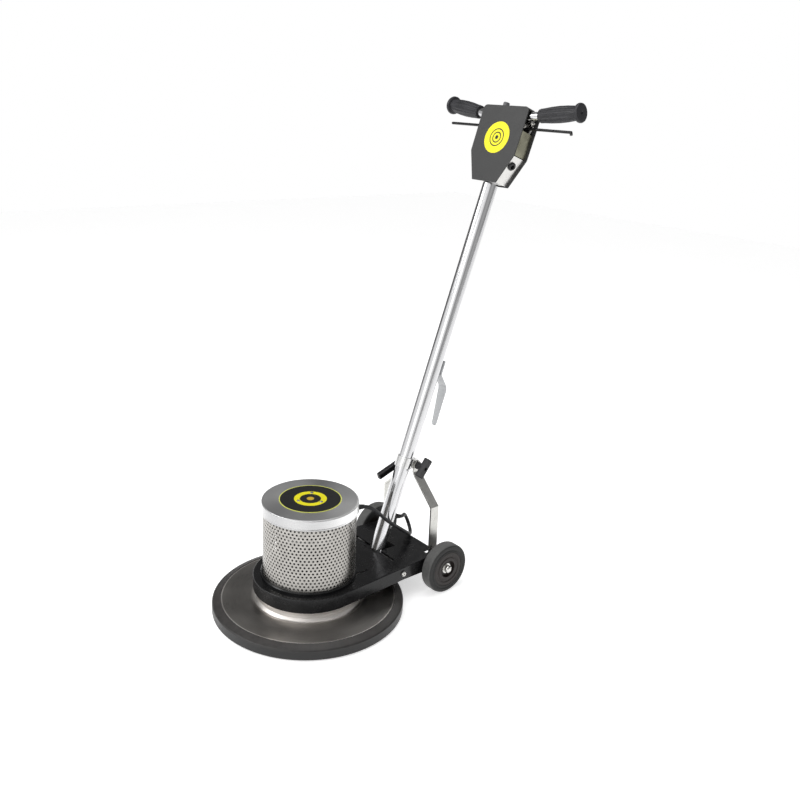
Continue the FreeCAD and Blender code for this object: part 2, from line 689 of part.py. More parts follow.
solid("pivot_tube", cross.makeChamfer(1, [
    e for e in cross.Edges if abs(e.CenterOfMass.x) > end_x - 0.1
    and e.Length > 2 * math.pi * 10]), HANDLE)
px = side_x(pivot_y - 7)
p_bolt = lathe([(0, 0), (7, 0), (7, 2.5), (5, 4.5), (0, 4.5)],
               V(px + 0.1, pivot_y, pivot_z), V(1, 0, 0))
p_bolt = p_bolt.fuse(rod(5, px - 40, px + 1, pivot_y, pivot_z))
p_bolt = p_bolt.cut(rod(2.5, px + 2.6, px + 8, pivot_y, pivot_z))
solid("pivot_bolts", group([p_bolt, mirrored(p_bolt)]))
grommet = lathe([(0, -3.5), (7.5, -3.5), (7.5, -2.2), (6, -2.2), (6, 0.4), (8.5, 0.4), (8, 4),
                 (6.5, 6), (6.5, 13), (0, 13)], V(0, 0, 0), V(0, 0, 1))
grommet.Placement = FreeCAD.Placement(
    V(0, tube_b, GROMMET_S) + grommet_way * t_rad, FreeCAD.Rotation(V(0, 0, 1), grommet_way))
tube_hull = Part.makeCylinder(t_rad, 60, V(0, tube_b, 80))
grommet = grommet.cut(tube_hull.cut(Part.makeCylinder(6, 60, V(0, tube_b, GROMMET_S), grommet_way)))
solid("lead_grommet", grommet, HANDLE)

# ---------------------------------------------------------------- clamp on the tube
cl_s = val("clamp_s")
cl_b = val("clamp_b")
cl_h = val("clamp_height")
cb_rad = val("clamp_bolt_radius")
clamp_out = t_rad + val("clamp_wall")
clamp = Part.makeCylinder(clamp_out, cl_h, V(0, tube_b, cl_s - cl_h / 2))
for x in (-8, 3):
    ear = Part.makeBox(5, cl_b - tube_b + 11, cl_h, V(x, tube_b, cl_s - cl_h / 2))
    clamp = clamp.fuse(ear)
clamp = clamp.cut(Part.makeCylinder(t_rad + 0.05, cl_h + 4, V(0, tube_b, cl_s - cl_h / 2 - 2)))
clamp = clamp.cut(Part.makeBox(6, 60, cl_h + 4, V(-3, tube_b + 5, cl_s - cl_h / 2 - 2)))
clamp = clamp.cut(rod(cb_rad, -40, 40, cl_b, cl_s))
solid("clamp_collar", clamp.removeSplitter(), HANDLE)
strap_t = val("strap_sheet")
eye_x = val("eye_x")
knob_x = eye_x + strap_t + 2.0
spacer = rod(7.5, 8.0, eye_x - 1.8, cl_b, cl_s)
spacer = spacer.fuse(rod(11.3, eye_x - 1.8, eye_x - 0.2, cl_b, cl_s))
washer = rod(11.3, eye_x + strap_t + 0.2, knob_x, cl_b, cl_s)
washers = []
for piece in (spacer, washer):
    piece = piece.cut(rod(cb_rad, 0, knob_x + 5, cl_b, cl_s))
    washers += [piece, mirrored(piece)]
solid("clamp_washers", group(washers), HANDLE)
bar_x = val("knob_bar_x")
stem = bar_x - knob_x + 2
knob = lathe([(3, 0.1), (10, 0.1), (9, stem / 2), (8.5, stem), (3, stem)],
             V(knob_x, cl_b, cl_s), V(1, 0, 0))
bar = Part.makeBox(16, 15, 52, V(bar_x, cl_b - 7.5, cl_s - 26))
bar = bar.makeFillet(3, [e for e in bar.Edges if e.Length < 20])
knob = knob.fuse(bar)
knob = knob.cut(rod(cb_rad + 0.05, knob_x - 2, bar_x, cl_b, cl_s))
knob = knob.cut(rod(4.5, bar_x + 6, bar_x + 20, cl_b, cl_s))
knob.rotate(V(0, cl_b, cl_s), V(1, 0, 0), -18)
solid("t_knob", knob, HANDLE)
# quick-release lever on the left: it turns about a pin that crosses the bolt
cam_r = 8.0
cam_x = -(knob_x + cam_r + 0.2)
lever_turn = math.degrees(math.atan2(53.0, 67.0))
cam = Part.makeCylinder(cam_r, 17, V(0, 0, -8.5))
arm = Part.makeBox(86, 12, 17, V(4, -6, -8.5))
arm = arm.makeFillet(2.5, [e for e in arm.Edges if e.CenterOfMass.x > 50 or e.Length > 50])
lever = cam.fuse(arm)
lever = lever.cut(Part.makeBox(74, 10, 11, V(14, -2.5, -5.5)))
lever = lever.cut(Part.makeBox(20, 24, 9, V(-12, -12, -4.5)))
lever = lever.cut(Part.makeCylinder(2.55, 40, V(0, 0, -20)))
# local X along the arm, local Y toward the clamp, local Z along the pin
ax = V(0, -math.cos(math.radians(lever_turn)), -math.sin(math.radians(lever_turn)))
ay = V(1, 0, 0)
az = ax.cross(ay)
frame = FreeCAD.Matrix(ax.x, ay.x, az.x, cam_x, ax.y, ay.y, az.y, cl_b,
                       ax.z, ay.z, az.z, cl_s, 0, 0, 0, 1)
cam_place = HANDLE.multiply(FreeCAD.Placement(frame))
solid("cam_lever", lever, cam_place)
cross_pin = Part.makeCylinder(2.5, 18, V(0, 0, -9))
cross_pin = cross_pin.fuse(Part.makeCylinder(4.35, 8.8, V(0, 0, -4.4)))
cross_pin.Placement = FreeCAD.Placement(frame)
clamp_bolt = rod(cb_rad, cam_x, bar_x - 0.7, cl_b, cl_s).fuse(cross_pin)
solid("clamp_bolt", clamp_bolt.removeSplitter(), HANDLE)
print("cam pin axis", HANDLE.Rotation.multVec(az), "at", HANDLE.multVec(V(cam_x, cl_b, cl_s)))

# ---------------------------------------------------------------- brace straps
clamp_world = HANDLE.multVec(V(0, cl_b, cl_s))
strap_x = val("strap_x")
brace_dy = clamp_world.y - axle_y
brace_dz = clamp_world.z - axle_z
brace_len = math.hypot(brace_dy, brace_dz)
brace_turn = math.degrees(math.atan2(brace_dy, brace_dz))
bend = val("strap_bend_z") - axle_z
w = val("strap_width")
line = [
    V(strap_x, 0, -w / 2), V(strap_x, 0, bend), V(eye_x + strap_t / 2 + 6, 0, brace_len - 27),
    V(eye_x + strap_t / 2, 0, brace_len - 17), V(eye_x + strap_t / 2, 0, brace_len + w / 2),
]


def offset_line(points, distance):
    """The polyline moved sideways in the XZ plane, with mitred corners."""
    result = []
    for i, p in enumerate(points):
        dirs = []
        if i > 0:
            dirs.append((p - points[i - 1]).normalize())
        if i < len(points) - 1:
            dirs.append((points[i + 1] - p).normalize())
        normals = [V(d.z, 0, -d.x) for d in dirs]
        if len(normals) == 2:
            n = (normals[0] + normals[1]).normalize()
            scale = distance / n.dot(normals[0])
        else:
            n = normals[0]
            scale = distance
        result.append(p + n * scale)
    return result


outline = offset_line(line, strap_t / 2) + offset_line(line, -strap_t / 2)[::-1]
strap = Part.Face(Part.makePolygon(outline + [outline[0]])).extrude(V(0, w, 0))
strap.translate(V(0, -w / 2, 0))
for z0, up in ((0.0, -1), (brace_len, 1)):
    end = Part.makeBox(200, w + 4, w, V(-20, -w / 2 - 2, z0 if up > 0 else z0 - w))
    end = end.cut(rod(w / 2, -40, 240, 0, z0))
    strap = strap.cut(end)
strap = strap.cut(rod(val("foot_hole_radius"), strap_x - 20, strap_x + 20))
strap = strap.cut(rod(cb_rad + 0.05, -20, 50, 0, brace_len))
brace_place = at(0, axle_y, axle_z, FreeCAD.Rotation(V(1, 0, 0), -brace_turn))
solid("brace_right", strap, brace_place)
solid("brace_left", mirrored(strap), brace_place)
print("brace length %.3f turn %.3f" % (brace_len, brace_turn))

# ---------------------------------------------------------------- axle and wheels
w_rad = val("wheel_radius")
w_half = val("wheel_width") / 2
w_x = val("wheel_x")
a_rad = val("axle_radius")
axle_end = w_x + w_half + 4
axle = rod(a_rad, -axle_end, axle_end, axle_y, axle_z)
ends = [e for e in axle.Edges if abs(abs(e.CenterOfMass.x) - axle_end) < 0.01]
solid("wheel_axle", axle.makeChamfer(0.8, ends))
hub_r = val("hub_radius")
for side_name, sign in (("left", -1), ("right", 1)):
    # profile runs from the inner face (towards the chassis) to the outer face
    direction = V(sign, 0, 0)
    centre = V(sign * w_x, axle_y, axle_z)
    tyre = lathe([
        (hub_r, -w_half), (w_rad - 4, -w_half), (w_rad - 0.8, -w_half + 3), (w_rad, -w_half + 6),
        (w_rad, w_half - 6), (w_rad - 0.8, w_half - 3), (w_rad - 4, w_half), (hub_r + 9, w_half),
        (hub_r + 7, w_half - 1.5), (hub_r + 4, w_half - 1.5), (hub_r + 2, w_half), (hub_r, w_half),
    ], centre, direction)
    solid("wheel_tyre_" + side_name, tyre)
    hub = lathe([
        (a_rad + 0.07, -w_half), (20, -w_half), (22, -w_half + 4), (hub_r - 3, -w_half + 4),
        (hub_r, -w_half + 1), (hub_r, w_half - 1), (hub_r - 2, w_half), (36, w_half),
        (34.5, w_half - 1.5), (31, w_half - 1.5), (29.5, w_half), (22, w_half),
        (20.5, w_half - 8), (a_rad + 0.07, w_half - 8),
    ], centre, direction)
    solid("wheel_hub_" + side_name, hub)
spacer_in = side_x(axle_y - 10) + 0.1
spacer = rod(10, spacer_in, w_x - w_half - 0.3, axle_y, axle_z)
spacer = spacer.cut(rod(a_rad, spacer_in - 1, w_x, axle_y, axle_z))
solid("axle_spacers", group([spacer, mirrored(spacer)]))
face_x = w_x + w_half - 8
washer = rod(13, face_x + 0.3, face_x + 2.3, axle_y, axle_z)
washer = washer.cut(rod(a_rad, face_x, face_x + 4, axle_y, axle_z))
cap_nut = lathe([(a_rad, 0), (9.5, 0), (9.5, 7), (8.5, 9.5), (5, 11.8), (0, 12.3), (0, 9.9),
                 (a_rad - 0.9, 9.9), (a_rad, 9.1)], V(face_x + 2.3, axle_y, axle_z), V(1, 0, 0))
solid("wheel_nuts", group([cap_nut, mirrored(cap_nut), washer, mirrored(washer)]))

# ---------------------------------------------------------------- cord hook
hook_line = [(tube_b + t_rad + 1.5, 525), (tube_b + t_rad + 1.5, 488), (tube_b + 50, 462),
             (tube_b + 54, 452), (tube_b + 63, 356)]
pts = [V(b, 0, s) for b, s in hook_line]
hook_outline = offset_line(pts, 1.5) + offset_line(pts, -1.5)[::-1]
hook_outline = [V(0, p.x, p.z) for p in hook_outline]
hook = Part.Face(Part.makePolygon(hook_outline + [hook_outline[0]])).extrude(V(28, 0, 0))
hook.translate(V(-14, 0, 0))
taper_face = Part.Face(Part.makePolygon([
    V(-14, 0, 540), V(14, 0, 540), V(14, 0, 452), V(7.5, 0, 362), V(4, 0, 355), V(-4, 0, 355),
    V(-7.5, 0, 362), V(-14, 0, 452), V(-14, 0, 540)])).extrude(V(0, 200, 0))
hook = hook.common(taper_face)
hook = hook.cut(Part.makeCylinder(t_rad, 240, V(0, tube_b, 330)))
for s in (516, 496):
    hook = hook.cut(Part.makeCylinder(2.5, 30, V(0, tube_b + 10, s), V(0, 1, 0)))
solid("cord_hook", hook, HANDLE)
screws = []
for s in (516, 496):
    one = lathe([(0, -6), (2.5, -6), (2.5, 0), (5, 0), (5, 1.2), (3.5, 2.6), (0, 2.6)],
                V(0, tube_b + t_rad + 3, s), V(0, 1, 0))
    screws.append(one)

# ---------------------------------------------------------------- head
h_top = val("head_top")
h_knee = val("head_knee")
h_bot = val("head_bottom")
h_front = val("head_front")
h_rear = val("head_rear")
h_sheet = val("head_sheet")
half_top = val("head_top_half")
half_knee = val("head_knee_half")
half_bot = val("head_bottom_half")


def shield(inset, depth_from, depth_to, top_z, corner):
    """A prism with the head's outline, inset from the edge, between two depths."""
    pts = [V(-half_bot + inset, 0, h_bot + inset * 0.4), V(-half_knee + inset, 0, h_knee),
           V(-half_top + inset, 0, top_z), V(half_top - inset, 0, top_z),
           V(half_knee - inset, 0, h_knee), V(half_bot - inset, 0, h_bot + inset * 0.4)]
    prism = Part.Face(Part.makePolygon(pts + [pts[0]])).extrude(V(0, depth_to - depth_from, 0))
    prism.translate(V(0, depth_from, 0))
    sharp = []
    for edge in prism.Edges:
        c = edge.CenterOfMass
        level = edge.BoundBox.ZLength < 0.01 and edge.BoundBox.XLength < 0.01
        if level and (abs(c.z - top_z) < 0.1 or abs(c.z - h_knee) < 0.1):
            sharp.append(edge)
    if corner > 0:
        prism = prism.makeFillet(corner, sharp)
    return prism


front = shield(0, h_front, h_rear - h_sheet, h_top, 12)
inside = shield(h_sheet, h_front + h_sheet, h_rear, h_top - h_sheet, 9.5)
front = front.cut(inside)
# below the shoulders only the front sheet is left
front = front.cut(Part.makeBox(300, 200, 400, V(-150, h_front + h_sheet, h_top - 7 - 400)))
button_b = tube_b - 6
button_x = -24.0
front = front.cut(Part.makeCylinder(8.05, 20, V(button_x, button_b, h_top - 10)))
solid("head_front_cover", front, HANDLE)
rear = shield(0, h_rear - h_sheet, h_rear, h_top - 4, 14)
SCREW_PLACES = [(x, s) for x in (-50, 50) for s in (h_top - 38, h_top - 23)]
for x, s in SCREW_PLACES:
    rear = rear.cut(Part.makeCylinder(2, 20, V(x, h_rear - 10, s), V(0, 1, 0)))
solid("head_rear_cover", rear, HANDLE)
emblem = Part.makeCylinder(val("decal_radius"), 0.5, V(0, h_front, h_top - 81.5), V(0, -1, 0))
solid("head_emblem", emblem, HANDLE)


def side_wall(inset, thickness, low_z, high_z):
    """The head's inner wall, a strip that follows the outline between two heights."""
    depth0 = h_front + h_sheet
    depth1 = h_rear - h_sheet
    strip = shield(inset, depth0, depth1, h_top, 0).cut(
        shield(inset + thickness, depth0 - 1, depth1 + 1, h_top + 9, 0))
    return strip.common(Part.makeBox(400, 200, high_z - low_z, V(-200, -60, low_z)))


lower = side_wall(7, 2, h_bot - 5, h_knee - 1)
lower = lower.cut(Part.makeCylinder(t_rad, 60, V(0, tube_b, h_bot - 20)))
gland_s = h_knee - 24
lean = math.atan2(half_knee - half_bot, h_knee - h_bot)
wall_x = half_bot - 7 + (gland_s - h_bot) * math.tan(lean)
gland_dir = V(math.cos(lean), 0, -math.sin(lean))
gland_b = tube_b - 6
lower = lower.cut(Part.makeCylinder(8, 30, V(wall_x, gland_b, gland_s) - gland_dir * 15, gland_dir))
upper = side_wall(7, 2, h_knee + 1, val("tube_top") + 10)
solid("head_side_panels", group(lower.removeSplitter().Solids + upper.Solids), HANDLE)
cord_gland = lathe([(5.5, -9), (10.5, -9), (10.5, -2.6), (8, -2.6), (8, 0.05), (10.5, 0.05),
                    (10.5, 3), (9, 5), (5.5, 5)], V(wall_x, gland_b, gland_s), gland_dir)
solid("power_cord_gland", cord_gland, HANDLE)
print("cord gland at", HANDLE.multVec(V(wall_x, gland_b, gland_s) + gland_dir * 5),
      "way", HANDLE.Rotation.multVec(gland_dir))

# yoke on the tube's top that carries the bars and the lever
yoke_z = val("tube_top")
yoke_top = yoke_z + 52
yoke = Part.makeBox(56, h_rear - h_sheet + 9.5, 4, V(-28, -9.5, yoke_z))
for x in (-28, 24):
    yoke = yoke.fuse(Part.makeBox(4, h_rear - h_sheet + 14.5, yoke_top - yoke_z, V(x, -14.5, yoke_z)))
yoke = yoke.fuse(Part.makeBox(120, 3, 25, V(-60, h_rear - h_sheet - 3, yoke_z + 25)))
bar_in = V(0, -3.6, yoke_z + 37.4)
bar_way = V(192, 9.5, 26.5).normalize()
bars = []
for sign in (1, -1):
    way = V(sign * bar_way.x, bar_way.y, bar_way.z)
    full = Part.makeCylinder(val("bar_radius"), 218, bar_in, way)
    core_cut = Part.makeCylinder(val("bar_radius") - 2, 230, bar_in, way)
    bars.append((full, core_cut))
handlebar = bars[0][0].fuse(bars[1][0])
handlebar = handlebar.cut(bars[0][1]).cut(bars[1][1])
for full, core_cut in bars:
    yoke = yoke.cut(full)
pin_b = tube_b + 10.5
pin_s = val("lever_s") - 2
lev_s = val("lever_s")
lev_b = val("lever_b")
yoke = yoke.cut(rod(2.5, -60, 60, pin_b, pin_s))
for x, s in SCREW_PLACES:
    yoke = yoke.cut(Part.makeCylinder(2, 30, V(x, h_rear - 20, s), V(0, 1, 0)))
clear = rod(val("lever_radius") + 2.5, -60, 60, lev_b, lev_s)
clear = clear.fuse(Part.makeBox(120, 12, 14, V(-60, lev_b - 6, lev_s - 1)))
yoke = yoke.cut(clear)
solid("head_yoke", yoke.removeSplitter(), HANDLE)
solid("handlebar", handlebar.removeSplitter(), HANDLE)

grip_r = val("grip_radius")
grip_l = val("grip_length")
b_rad = val("bar_radius")
grips = []
for sign in (-1, 1):
    way = V(sign * bar_way.x, bar_way.y, bar_way.z)
    profile = [
        (b_rad, 0), (grip_r - 1, 0), (grip_r, 3), (grip_r + 2.2, 30), (grip_r + 2.6, 55),
        (grip_r + 1.6, 80), (grip_r, grip_l - 12), (grip_r, grip_l - 10),
        (grip_r + 5.6, grip_l - 8), (grip_r + 6, grip_l - 4), (grip_r + 5, grip_l),
        (2.5, grip_l), (2.5, grip_l - 4), (b_rad, grip_l - 4),
    ]
    grips.append(lathe(profile, bar_in + way * (222 - grip_l), way))
solid("grips", group(grips), HANDLE)

# ---------------------------------------------------------------- lever, switch and button
l_rad = val("lever_radius")
l_half = val("lever_half")
lever_rod = rod(l_rad, -l_half, l_half, lev_b, lev_s)
tip = Part.makeSphere(l_rad, V(l_half, lev_b, lev_s))
tip2 = Part.makeCylinder(l_rad, 7, V(l_half, lev_b, lev_s), V(0.5, 0, -1))
lever_rod = lever_rod.fuse(tip).fuse(tip2)
lever_rod = lever_rod.fuse(Part.makeSphere(l_rad, V(-l_half, lev_b, lev_s)))
for x in (-21, 17):
    link = Part.makeBox(4, pin_b - lev_b, 9, V(x, lev_b, pin_s - 3.5))
    link = link.fuse(rod(5, x, x + 4, pin_b, pin_s))
    lever_rod = lever_rod.fuse(link)
lever_rod = lever_rod.cut(rod(2.55, -30, 30, pin_b, pin_s))
solid("switch_lever", lever_rod.removeSplitter(), HANDLE)
solid("lever_pin", rod(2.5, -30, 30, pin_b, pin_s), HANDLE)
switch = Part.makeBox(24, 14, 14, V(-12, h_rear - h_sheet - 17, yoke_z + 35))
switch = switch.fuse(Part.makeBox(4, 4, 3, V(-2, h_rear - h_sheet - 12, yoke_z + 32)))
solid("power_switch", switch, HANDLE)
button = Part.makeCylinder(8, 22, V(button_x, button_b, h_top - 8))
button = button.makeFillet(1.5, [e for e in button.Edges
                                 if abs(e.CenterOfMass.z - h_top - 14) < 0.01])
button = button.fuse(Part.makeCylinder(9.5, 2, V(button_x, button_b, h_top - 8)))
solid("safety_button", button, HANDLE)
head_screws = []
for x, s in SCREW_PLACES:
    screw = lathe([(0, -4), (2, -4), (2, 0), (4, 0), (3.2, 1.6), (0, 2)],
                  V(x, h_rear, s), V(0, 1, 0))
    head_screws.append(screw)
solid("handle_screws", group(screws + head_screws), HANDLE)

solid("motor_lead", sweep(lead_path(), lead_r))

# ---------------------------------------------------------------- checks and export
doc.recompute()
bad = [o.Name for o in doc.Objects if "Invalid" in o.State or "Error" in o.State]
print("bad states:", bad)
print("pivot", HANDLE.Base, "tube way", HANDLE.Rotation.multVec(V(0, 0, 1)))
print("clamp bolt", clamp_world, "count", len(nodes))
for node in nodes:
    shape = node.Shape
    if shape.isNull() or not shape.isValid():
        print("INVALID", node.Label)
        continue
    box = shape.BoundBox
    shape.exportStep("parts/%s.step" % node.Label)
    print("%-20s solids %d volume %10.0f  x %.1f %.1f y %.1f %.1f z %.1f %.1f" % (
        node.Label, len(shape.Solids), shape.Volume, box.XMin, box.XMax, box.YMin, box.YMax,
        box.ZMin, box.ZMax))
if bad:
    raise SystemExit("invalid objects: %s" % bad)
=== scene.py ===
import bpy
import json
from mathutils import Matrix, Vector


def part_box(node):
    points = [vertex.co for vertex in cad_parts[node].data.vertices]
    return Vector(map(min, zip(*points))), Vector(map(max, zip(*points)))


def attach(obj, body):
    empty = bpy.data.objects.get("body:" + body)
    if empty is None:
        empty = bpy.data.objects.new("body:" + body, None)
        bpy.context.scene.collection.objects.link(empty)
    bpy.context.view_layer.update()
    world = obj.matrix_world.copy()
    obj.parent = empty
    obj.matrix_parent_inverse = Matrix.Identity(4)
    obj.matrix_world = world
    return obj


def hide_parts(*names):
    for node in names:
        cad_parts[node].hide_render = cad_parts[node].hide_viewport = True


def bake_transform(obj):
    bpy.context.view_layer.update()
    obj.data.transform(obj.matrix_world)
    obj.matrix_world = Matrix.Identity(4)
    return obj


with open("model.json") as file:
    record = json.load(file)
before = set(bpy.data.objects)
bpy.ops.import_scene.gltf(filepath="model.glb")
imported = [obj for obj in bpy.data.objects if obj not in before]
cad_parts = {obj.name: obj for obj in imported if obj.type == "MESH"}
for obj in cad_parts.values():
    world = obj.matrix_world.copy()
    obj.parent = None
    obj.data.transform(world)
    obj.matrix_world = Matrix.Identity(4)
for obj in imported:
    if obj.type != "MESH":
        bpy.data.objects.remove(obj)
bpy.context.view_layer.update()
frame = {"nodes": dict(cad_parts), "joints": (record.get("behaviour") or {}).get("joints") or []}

import json
import math

import bmesh
import bpy
from mathutils import Matrix, Vector

bl_info = {
    "name": "Floor Burnisher",
    "version": (1, 0, 0),
    "blender": (4, 5, 0),
    "location": "3D View > Sidebar > Burnisher",
    "description": "Builds the visible pieces and finishes of a walk-behind floor burnisher",
    "category": "Object",
}

# ------------------------ places taken from the frame
NODES = frame["nodes"]
JOINTS = {joint["name"]: joint for joint in frame["joints"]}
TUBE_WAY = Vector(JOINTS["collar_slide"]["axis"]).normalized()
PIVOT = Vector(JOINTS["handle_tilt"]["pos_m"])
LEAN = math.atan2(TUBE_WAY.y, TUBE_WAY.z)
HANDLE = Matrix.Translation(PIVOT) @ Matrix.Rotation(-LEAN, 4, "X")
SLEEVE_LOW, SLEEVE_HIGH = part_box("perforated_cover")
CAP_LOW, CAP_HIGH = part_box("cover_cap")
PAD_LOW, PAD_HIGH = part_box("floor_pad")
GLAND_TURN = math.radians(70.0)
GLAND_HEIGHT = 0.246
BAR_MIDDLE = (0.0, -0.0036, 1.1474)
BAR_WAY = Vector((0.192, 0.0095, 0.0265)).normalized()
BAR_RADIUS = 0.0111
BAR_REACH = 0.222
TUBE_RADIUS = 0.01905
TUBE_BACK = 0.0105
BOOT_SEAT = 0.013
GROMMET_ALONG = 0.104
# Size and place of the black sheet that paints shade under the handle's opening
SHADE_SHEET_SIZE = (0.200, 0.146, 0.0080)
SHADE_SHEET_BEHIND = 0.0585
SHADE_SHEET_HEIGHT = 0.0438
WELD = 0.00002      # corners nearer than this are one corner
SEAM = 0.00005      # the same, between repeats of the perforation


# ------------------------ sizes a user would change
class PerforationSizes(bpy.types.PropertyGroup):
    columns: bpy.props.IntProperty(
        name="Columns", description="Holes round the sleeve", default=72, min=12)
    rows: bpy.props.IntProperty(
        name="Rows", description="Rows of holes up the sleeve", default=19, min=4)
    hole: bpy.props.FloatProperty(
        name="Hole", description="Diameter of each hole", default=0.0053,
        subtype="DISTANCE", unit="LENGTH")
    sheet: bpy.props.FloatProperty(
        name="Sheet", description="Thickness of the perforated sheet", default=0.0012,
        subtype="DISTANCE", unit="LENGTH")


class CapSizes(bpy.types.PropertyGroup):
    bead: bpy.props.FloatProperty(
        name="Rolled edge", description="Radius of the cap's rolled edge", default=0.0032,
        subtype="DISTANCE", unit="LENGTH")
    sheet: bpy.props.FloatProperty(
        name="Sheet", description="Thickness of the cap's sheet", default=0.0012,
        subtype="DISTANCE", unit="LENGTH")


class GripSizes(bpy.types.PropertyGroup):
    radius: bpy.props.FloatProperty(
        name="Radius", description="Radius of the grip at its thickest", default=0.0200,
        subtype="DISTANCE", unit="LENGTH")
    length: bpy.props.FloatProperty(
        name="Length", description="Length of the grip", default=0.118,
        subtype="DISTANCE", unit="LENGTH")
    flutes: bpy.props.IntProperty(
        name="Flutes", description="Grooves round the grip", default=12, min=4)
    flute: bpy.props.FloatProperty(
        name="Flute depth", description="Depth of each groove", default=0.0016,
        subtype="DISTANCE", unit="LENGTH")


class LeadSizes(bpy.types.PropertyGroup):
    diameter: bpy.props.FloatProperty(
        name="Diameter", description="Diameter of the motor lead", default=0.0092,
        subtype="DISTANCE", unit="LENGTH")
    boot: bpy.props.FloatProperty(
        name="Boot", description="Length of each tapered boot", default=0.024,
        subtype="DISTANCE", unit="LENGTH")


class FinishColours(bpy.types.PropertyGroup):
    steel: bpy.props.FloatVectorProperty(
        name="Steel", description="Colour of bright steel", default=(0.62, 0.615, 0.60),
        subtype="COLOR", size=3)
    deck: bpy.props.FloatVectorProperty(
        name="Deck", description="Colour of the spun deck", default=(0.42, 0.40, 0.38),
        subtype="COLOR", size=3)
    paint: bpy.props.FloatVectorProperty(
        name="Paint", description="Colour of the black paint", default=(0.006, 0.006, 0.0065),
        subtype="COLOR", size=3)
    yellow: bpy.props.FloatVectorProperty(
        name="Yellow", description="Colour of the printed rings", default=(0.86, 0.78, 0.012),
        subtype="COLOR", size=3)


class CameraSizes(bpy.types.PropertyGroup):
    place: bpy.props.FloatVectorProperty(
        name="Place", description="Where the camera stands", default=(1.6025, -1.1103, 1.2136),
        subtype="TRANSLATION", unit="LENGTH", size=3)
    turn: bpy.props.FloatProperty(
        name="Turn", description="Direction round the object", default=math.radians(49.55),
        subtype="ANGLE", unit="ROTATION")
    drop: bpy.props.FloatProperty(
        name="Drop", description="How far the camera looks down", default=math.radians(16.0),
        subtype="ANGLE", unit="ROTATION")
    roll: bpy.props.FloatProperty(
        name="Roll", description="Roll of the camera", default=math.radians(2.68),
        subtype="ANGLE", unit="ROTATION")
    lens: bpy.props.FloatProperty(
        name="Lens", description="Focal length, millimetres on a 36 mm sensor", default=40.44)
    shift: bpy.props.FloatProperty(
        name="Shift", description="Upward shift of the lens", default=-0.0625)


# ------------------------ modelling helpers
def clear():
    """Leaves object mode with nothing selected."""
    if bpy.context.object and bpy.context.object.mode != "OBJECT":
        bpy.ops.object.mode_set(mode="OBJECT")
    bpy.ops.object.select_all(action="DESELECT")


def only(piece):
    """Selects one piece and nothing else."""
    clear()
    piece.select_set(True)
    bpy.context.view_layer.objects.active = piece


def edit_all():
    """Edit mode, with all of the piece selected."""
    bpy.ops.object.mode_set(mode="EDIT")
    bpy.ops.mesh.select_all(action="SELECT")


def extrude(way):
    """Extrudes what is selected along a direction."""
    bpy.ops.mesh.extrude_region_move(TRANSFORM_OT_translate={"value": way})


def close_up(merge=None):
    """Merges doubles where a distance is given, and turns the faces outwards."""
    bpy.ops.mesh.select_all(action="SELECT")
    if merge:
        bpy.ops.mesh.remove_doubles(threshold=merge)
    bpy.ops.mesh.normals_make_consistent(inside=False)


def start(name):
    """The primitive just added becomes the named piece, in edit mode with all of it selected."""
    piece = bpy.context.object
    piece.name = name
    piece.data.name = name
    edit_all()
    return piece


def pick(piece, kind, test):
    """Selects only the faces, edges or vertices in edit mode whose middle passes the test."""
    mesh = bmesh.from_edit_mesh(piece.data)
    bpy.ops.mesh.select_all(action="DESELECT")
    found = {"FACE": mesh.faces, "EDGE": mesh.edges, "VERT": mesh.verts}[kind]
    for part in found:
        if kind == "FACE":
            middle = part.calc_center_median()
        elif kind == "EDGE":
            middle = (part.verts[0].co + part.verts[1].co) / 2
        else:
            middle = part.co
        if test(middle, part):
            part.select_set(True)
    mesh.select_flush_mode()
    bmesh.update_edit_mesh(piece.data)


def settle(piece, matrix=None, angle=32):
    """Back in object mode, moves the piece to its place and leaves it unturned and unscaled."""
    bpy.ops.object.mode_set(mode="OBJECT")
    only(piece)
    if matrix is not None:
        piece.matrix_world = matrix @ piece.matrix_world
    bpy.ops.object.transform_apply(location=True, rotation=True, scale=True)
    settle_edges(piece, angle)
    return piece


def add_modifier(piece, kind, **values):
    """Adds a modifier with these values and applies it."""
    only(piece)
    modifier = piece.modifiers.new(kind.title(), kind)
    for key, value in values.items():
        setattr(modifier, key, value)
    bpy.ops.object.modifier_apply(modifier=modifier.name)


def turned(name, outline, steps=96, matrix=None, angle=32):
    """Spins an outline of (radius, height) points about Z; a closed one ends where it starts."""
    clear()
    bpy.ops.mesh.primitive_plane_add(size=0.001)
    piece = start(name)
    bpy.ops.mesh.merge(type="CENTER")
    radius, height = outline[0]
    bpy.ops.transform.translate(value=(radius, 0, height))
    for (r0, z0), (r1, z1) in zip(outline, outline[1:]):
        extrude((r1 - r0, 0, z1 - z0))
    bpy.ops.mesh.select_all(action="SELECT")
    bpy.ops.mesh.spin(steps=steps, angle=2 * math.pi, center=(0, 0, 0), axis=(0, 0, 1))
    close_up(WELD)
    return settle(piece, matrix, angle)


def arc(cx, cz, radius, first, last, steps=6):
    """Points of an arc in an outline, between two angles in degrees."""
    turns = [math.radians(first + (last - first) * i / steps) for i in range(steps + 1)]
    return [(cx + radius * math.cos(t), cz + radius * math.sin(t)) for t in turns]


def facing(place, way):
    """A matrix that puts Z along a direction at a place."""
    return Matrix.Translation(place) @ Vector(way).to_track_quat("Z", "Y").to_matrix().to_4x4()


def settle_edges(piece, angle=32):
    """Smooths a piece except across its sharp edges."""
    only(piece)
    bpy.ops.object.shade_smooth_by_angle(angle=math.radians(angle))


def paint(piece, material):
    """Gives a piece one material."""
    piece.data.materials.clear()
    piece.data.materials.append(material)


def handle_point(x, back, along):
    """A point in the leaning frame of the handle, in the frame of the whole machine."""
    return HANDLE @ Vector((x, back, along))


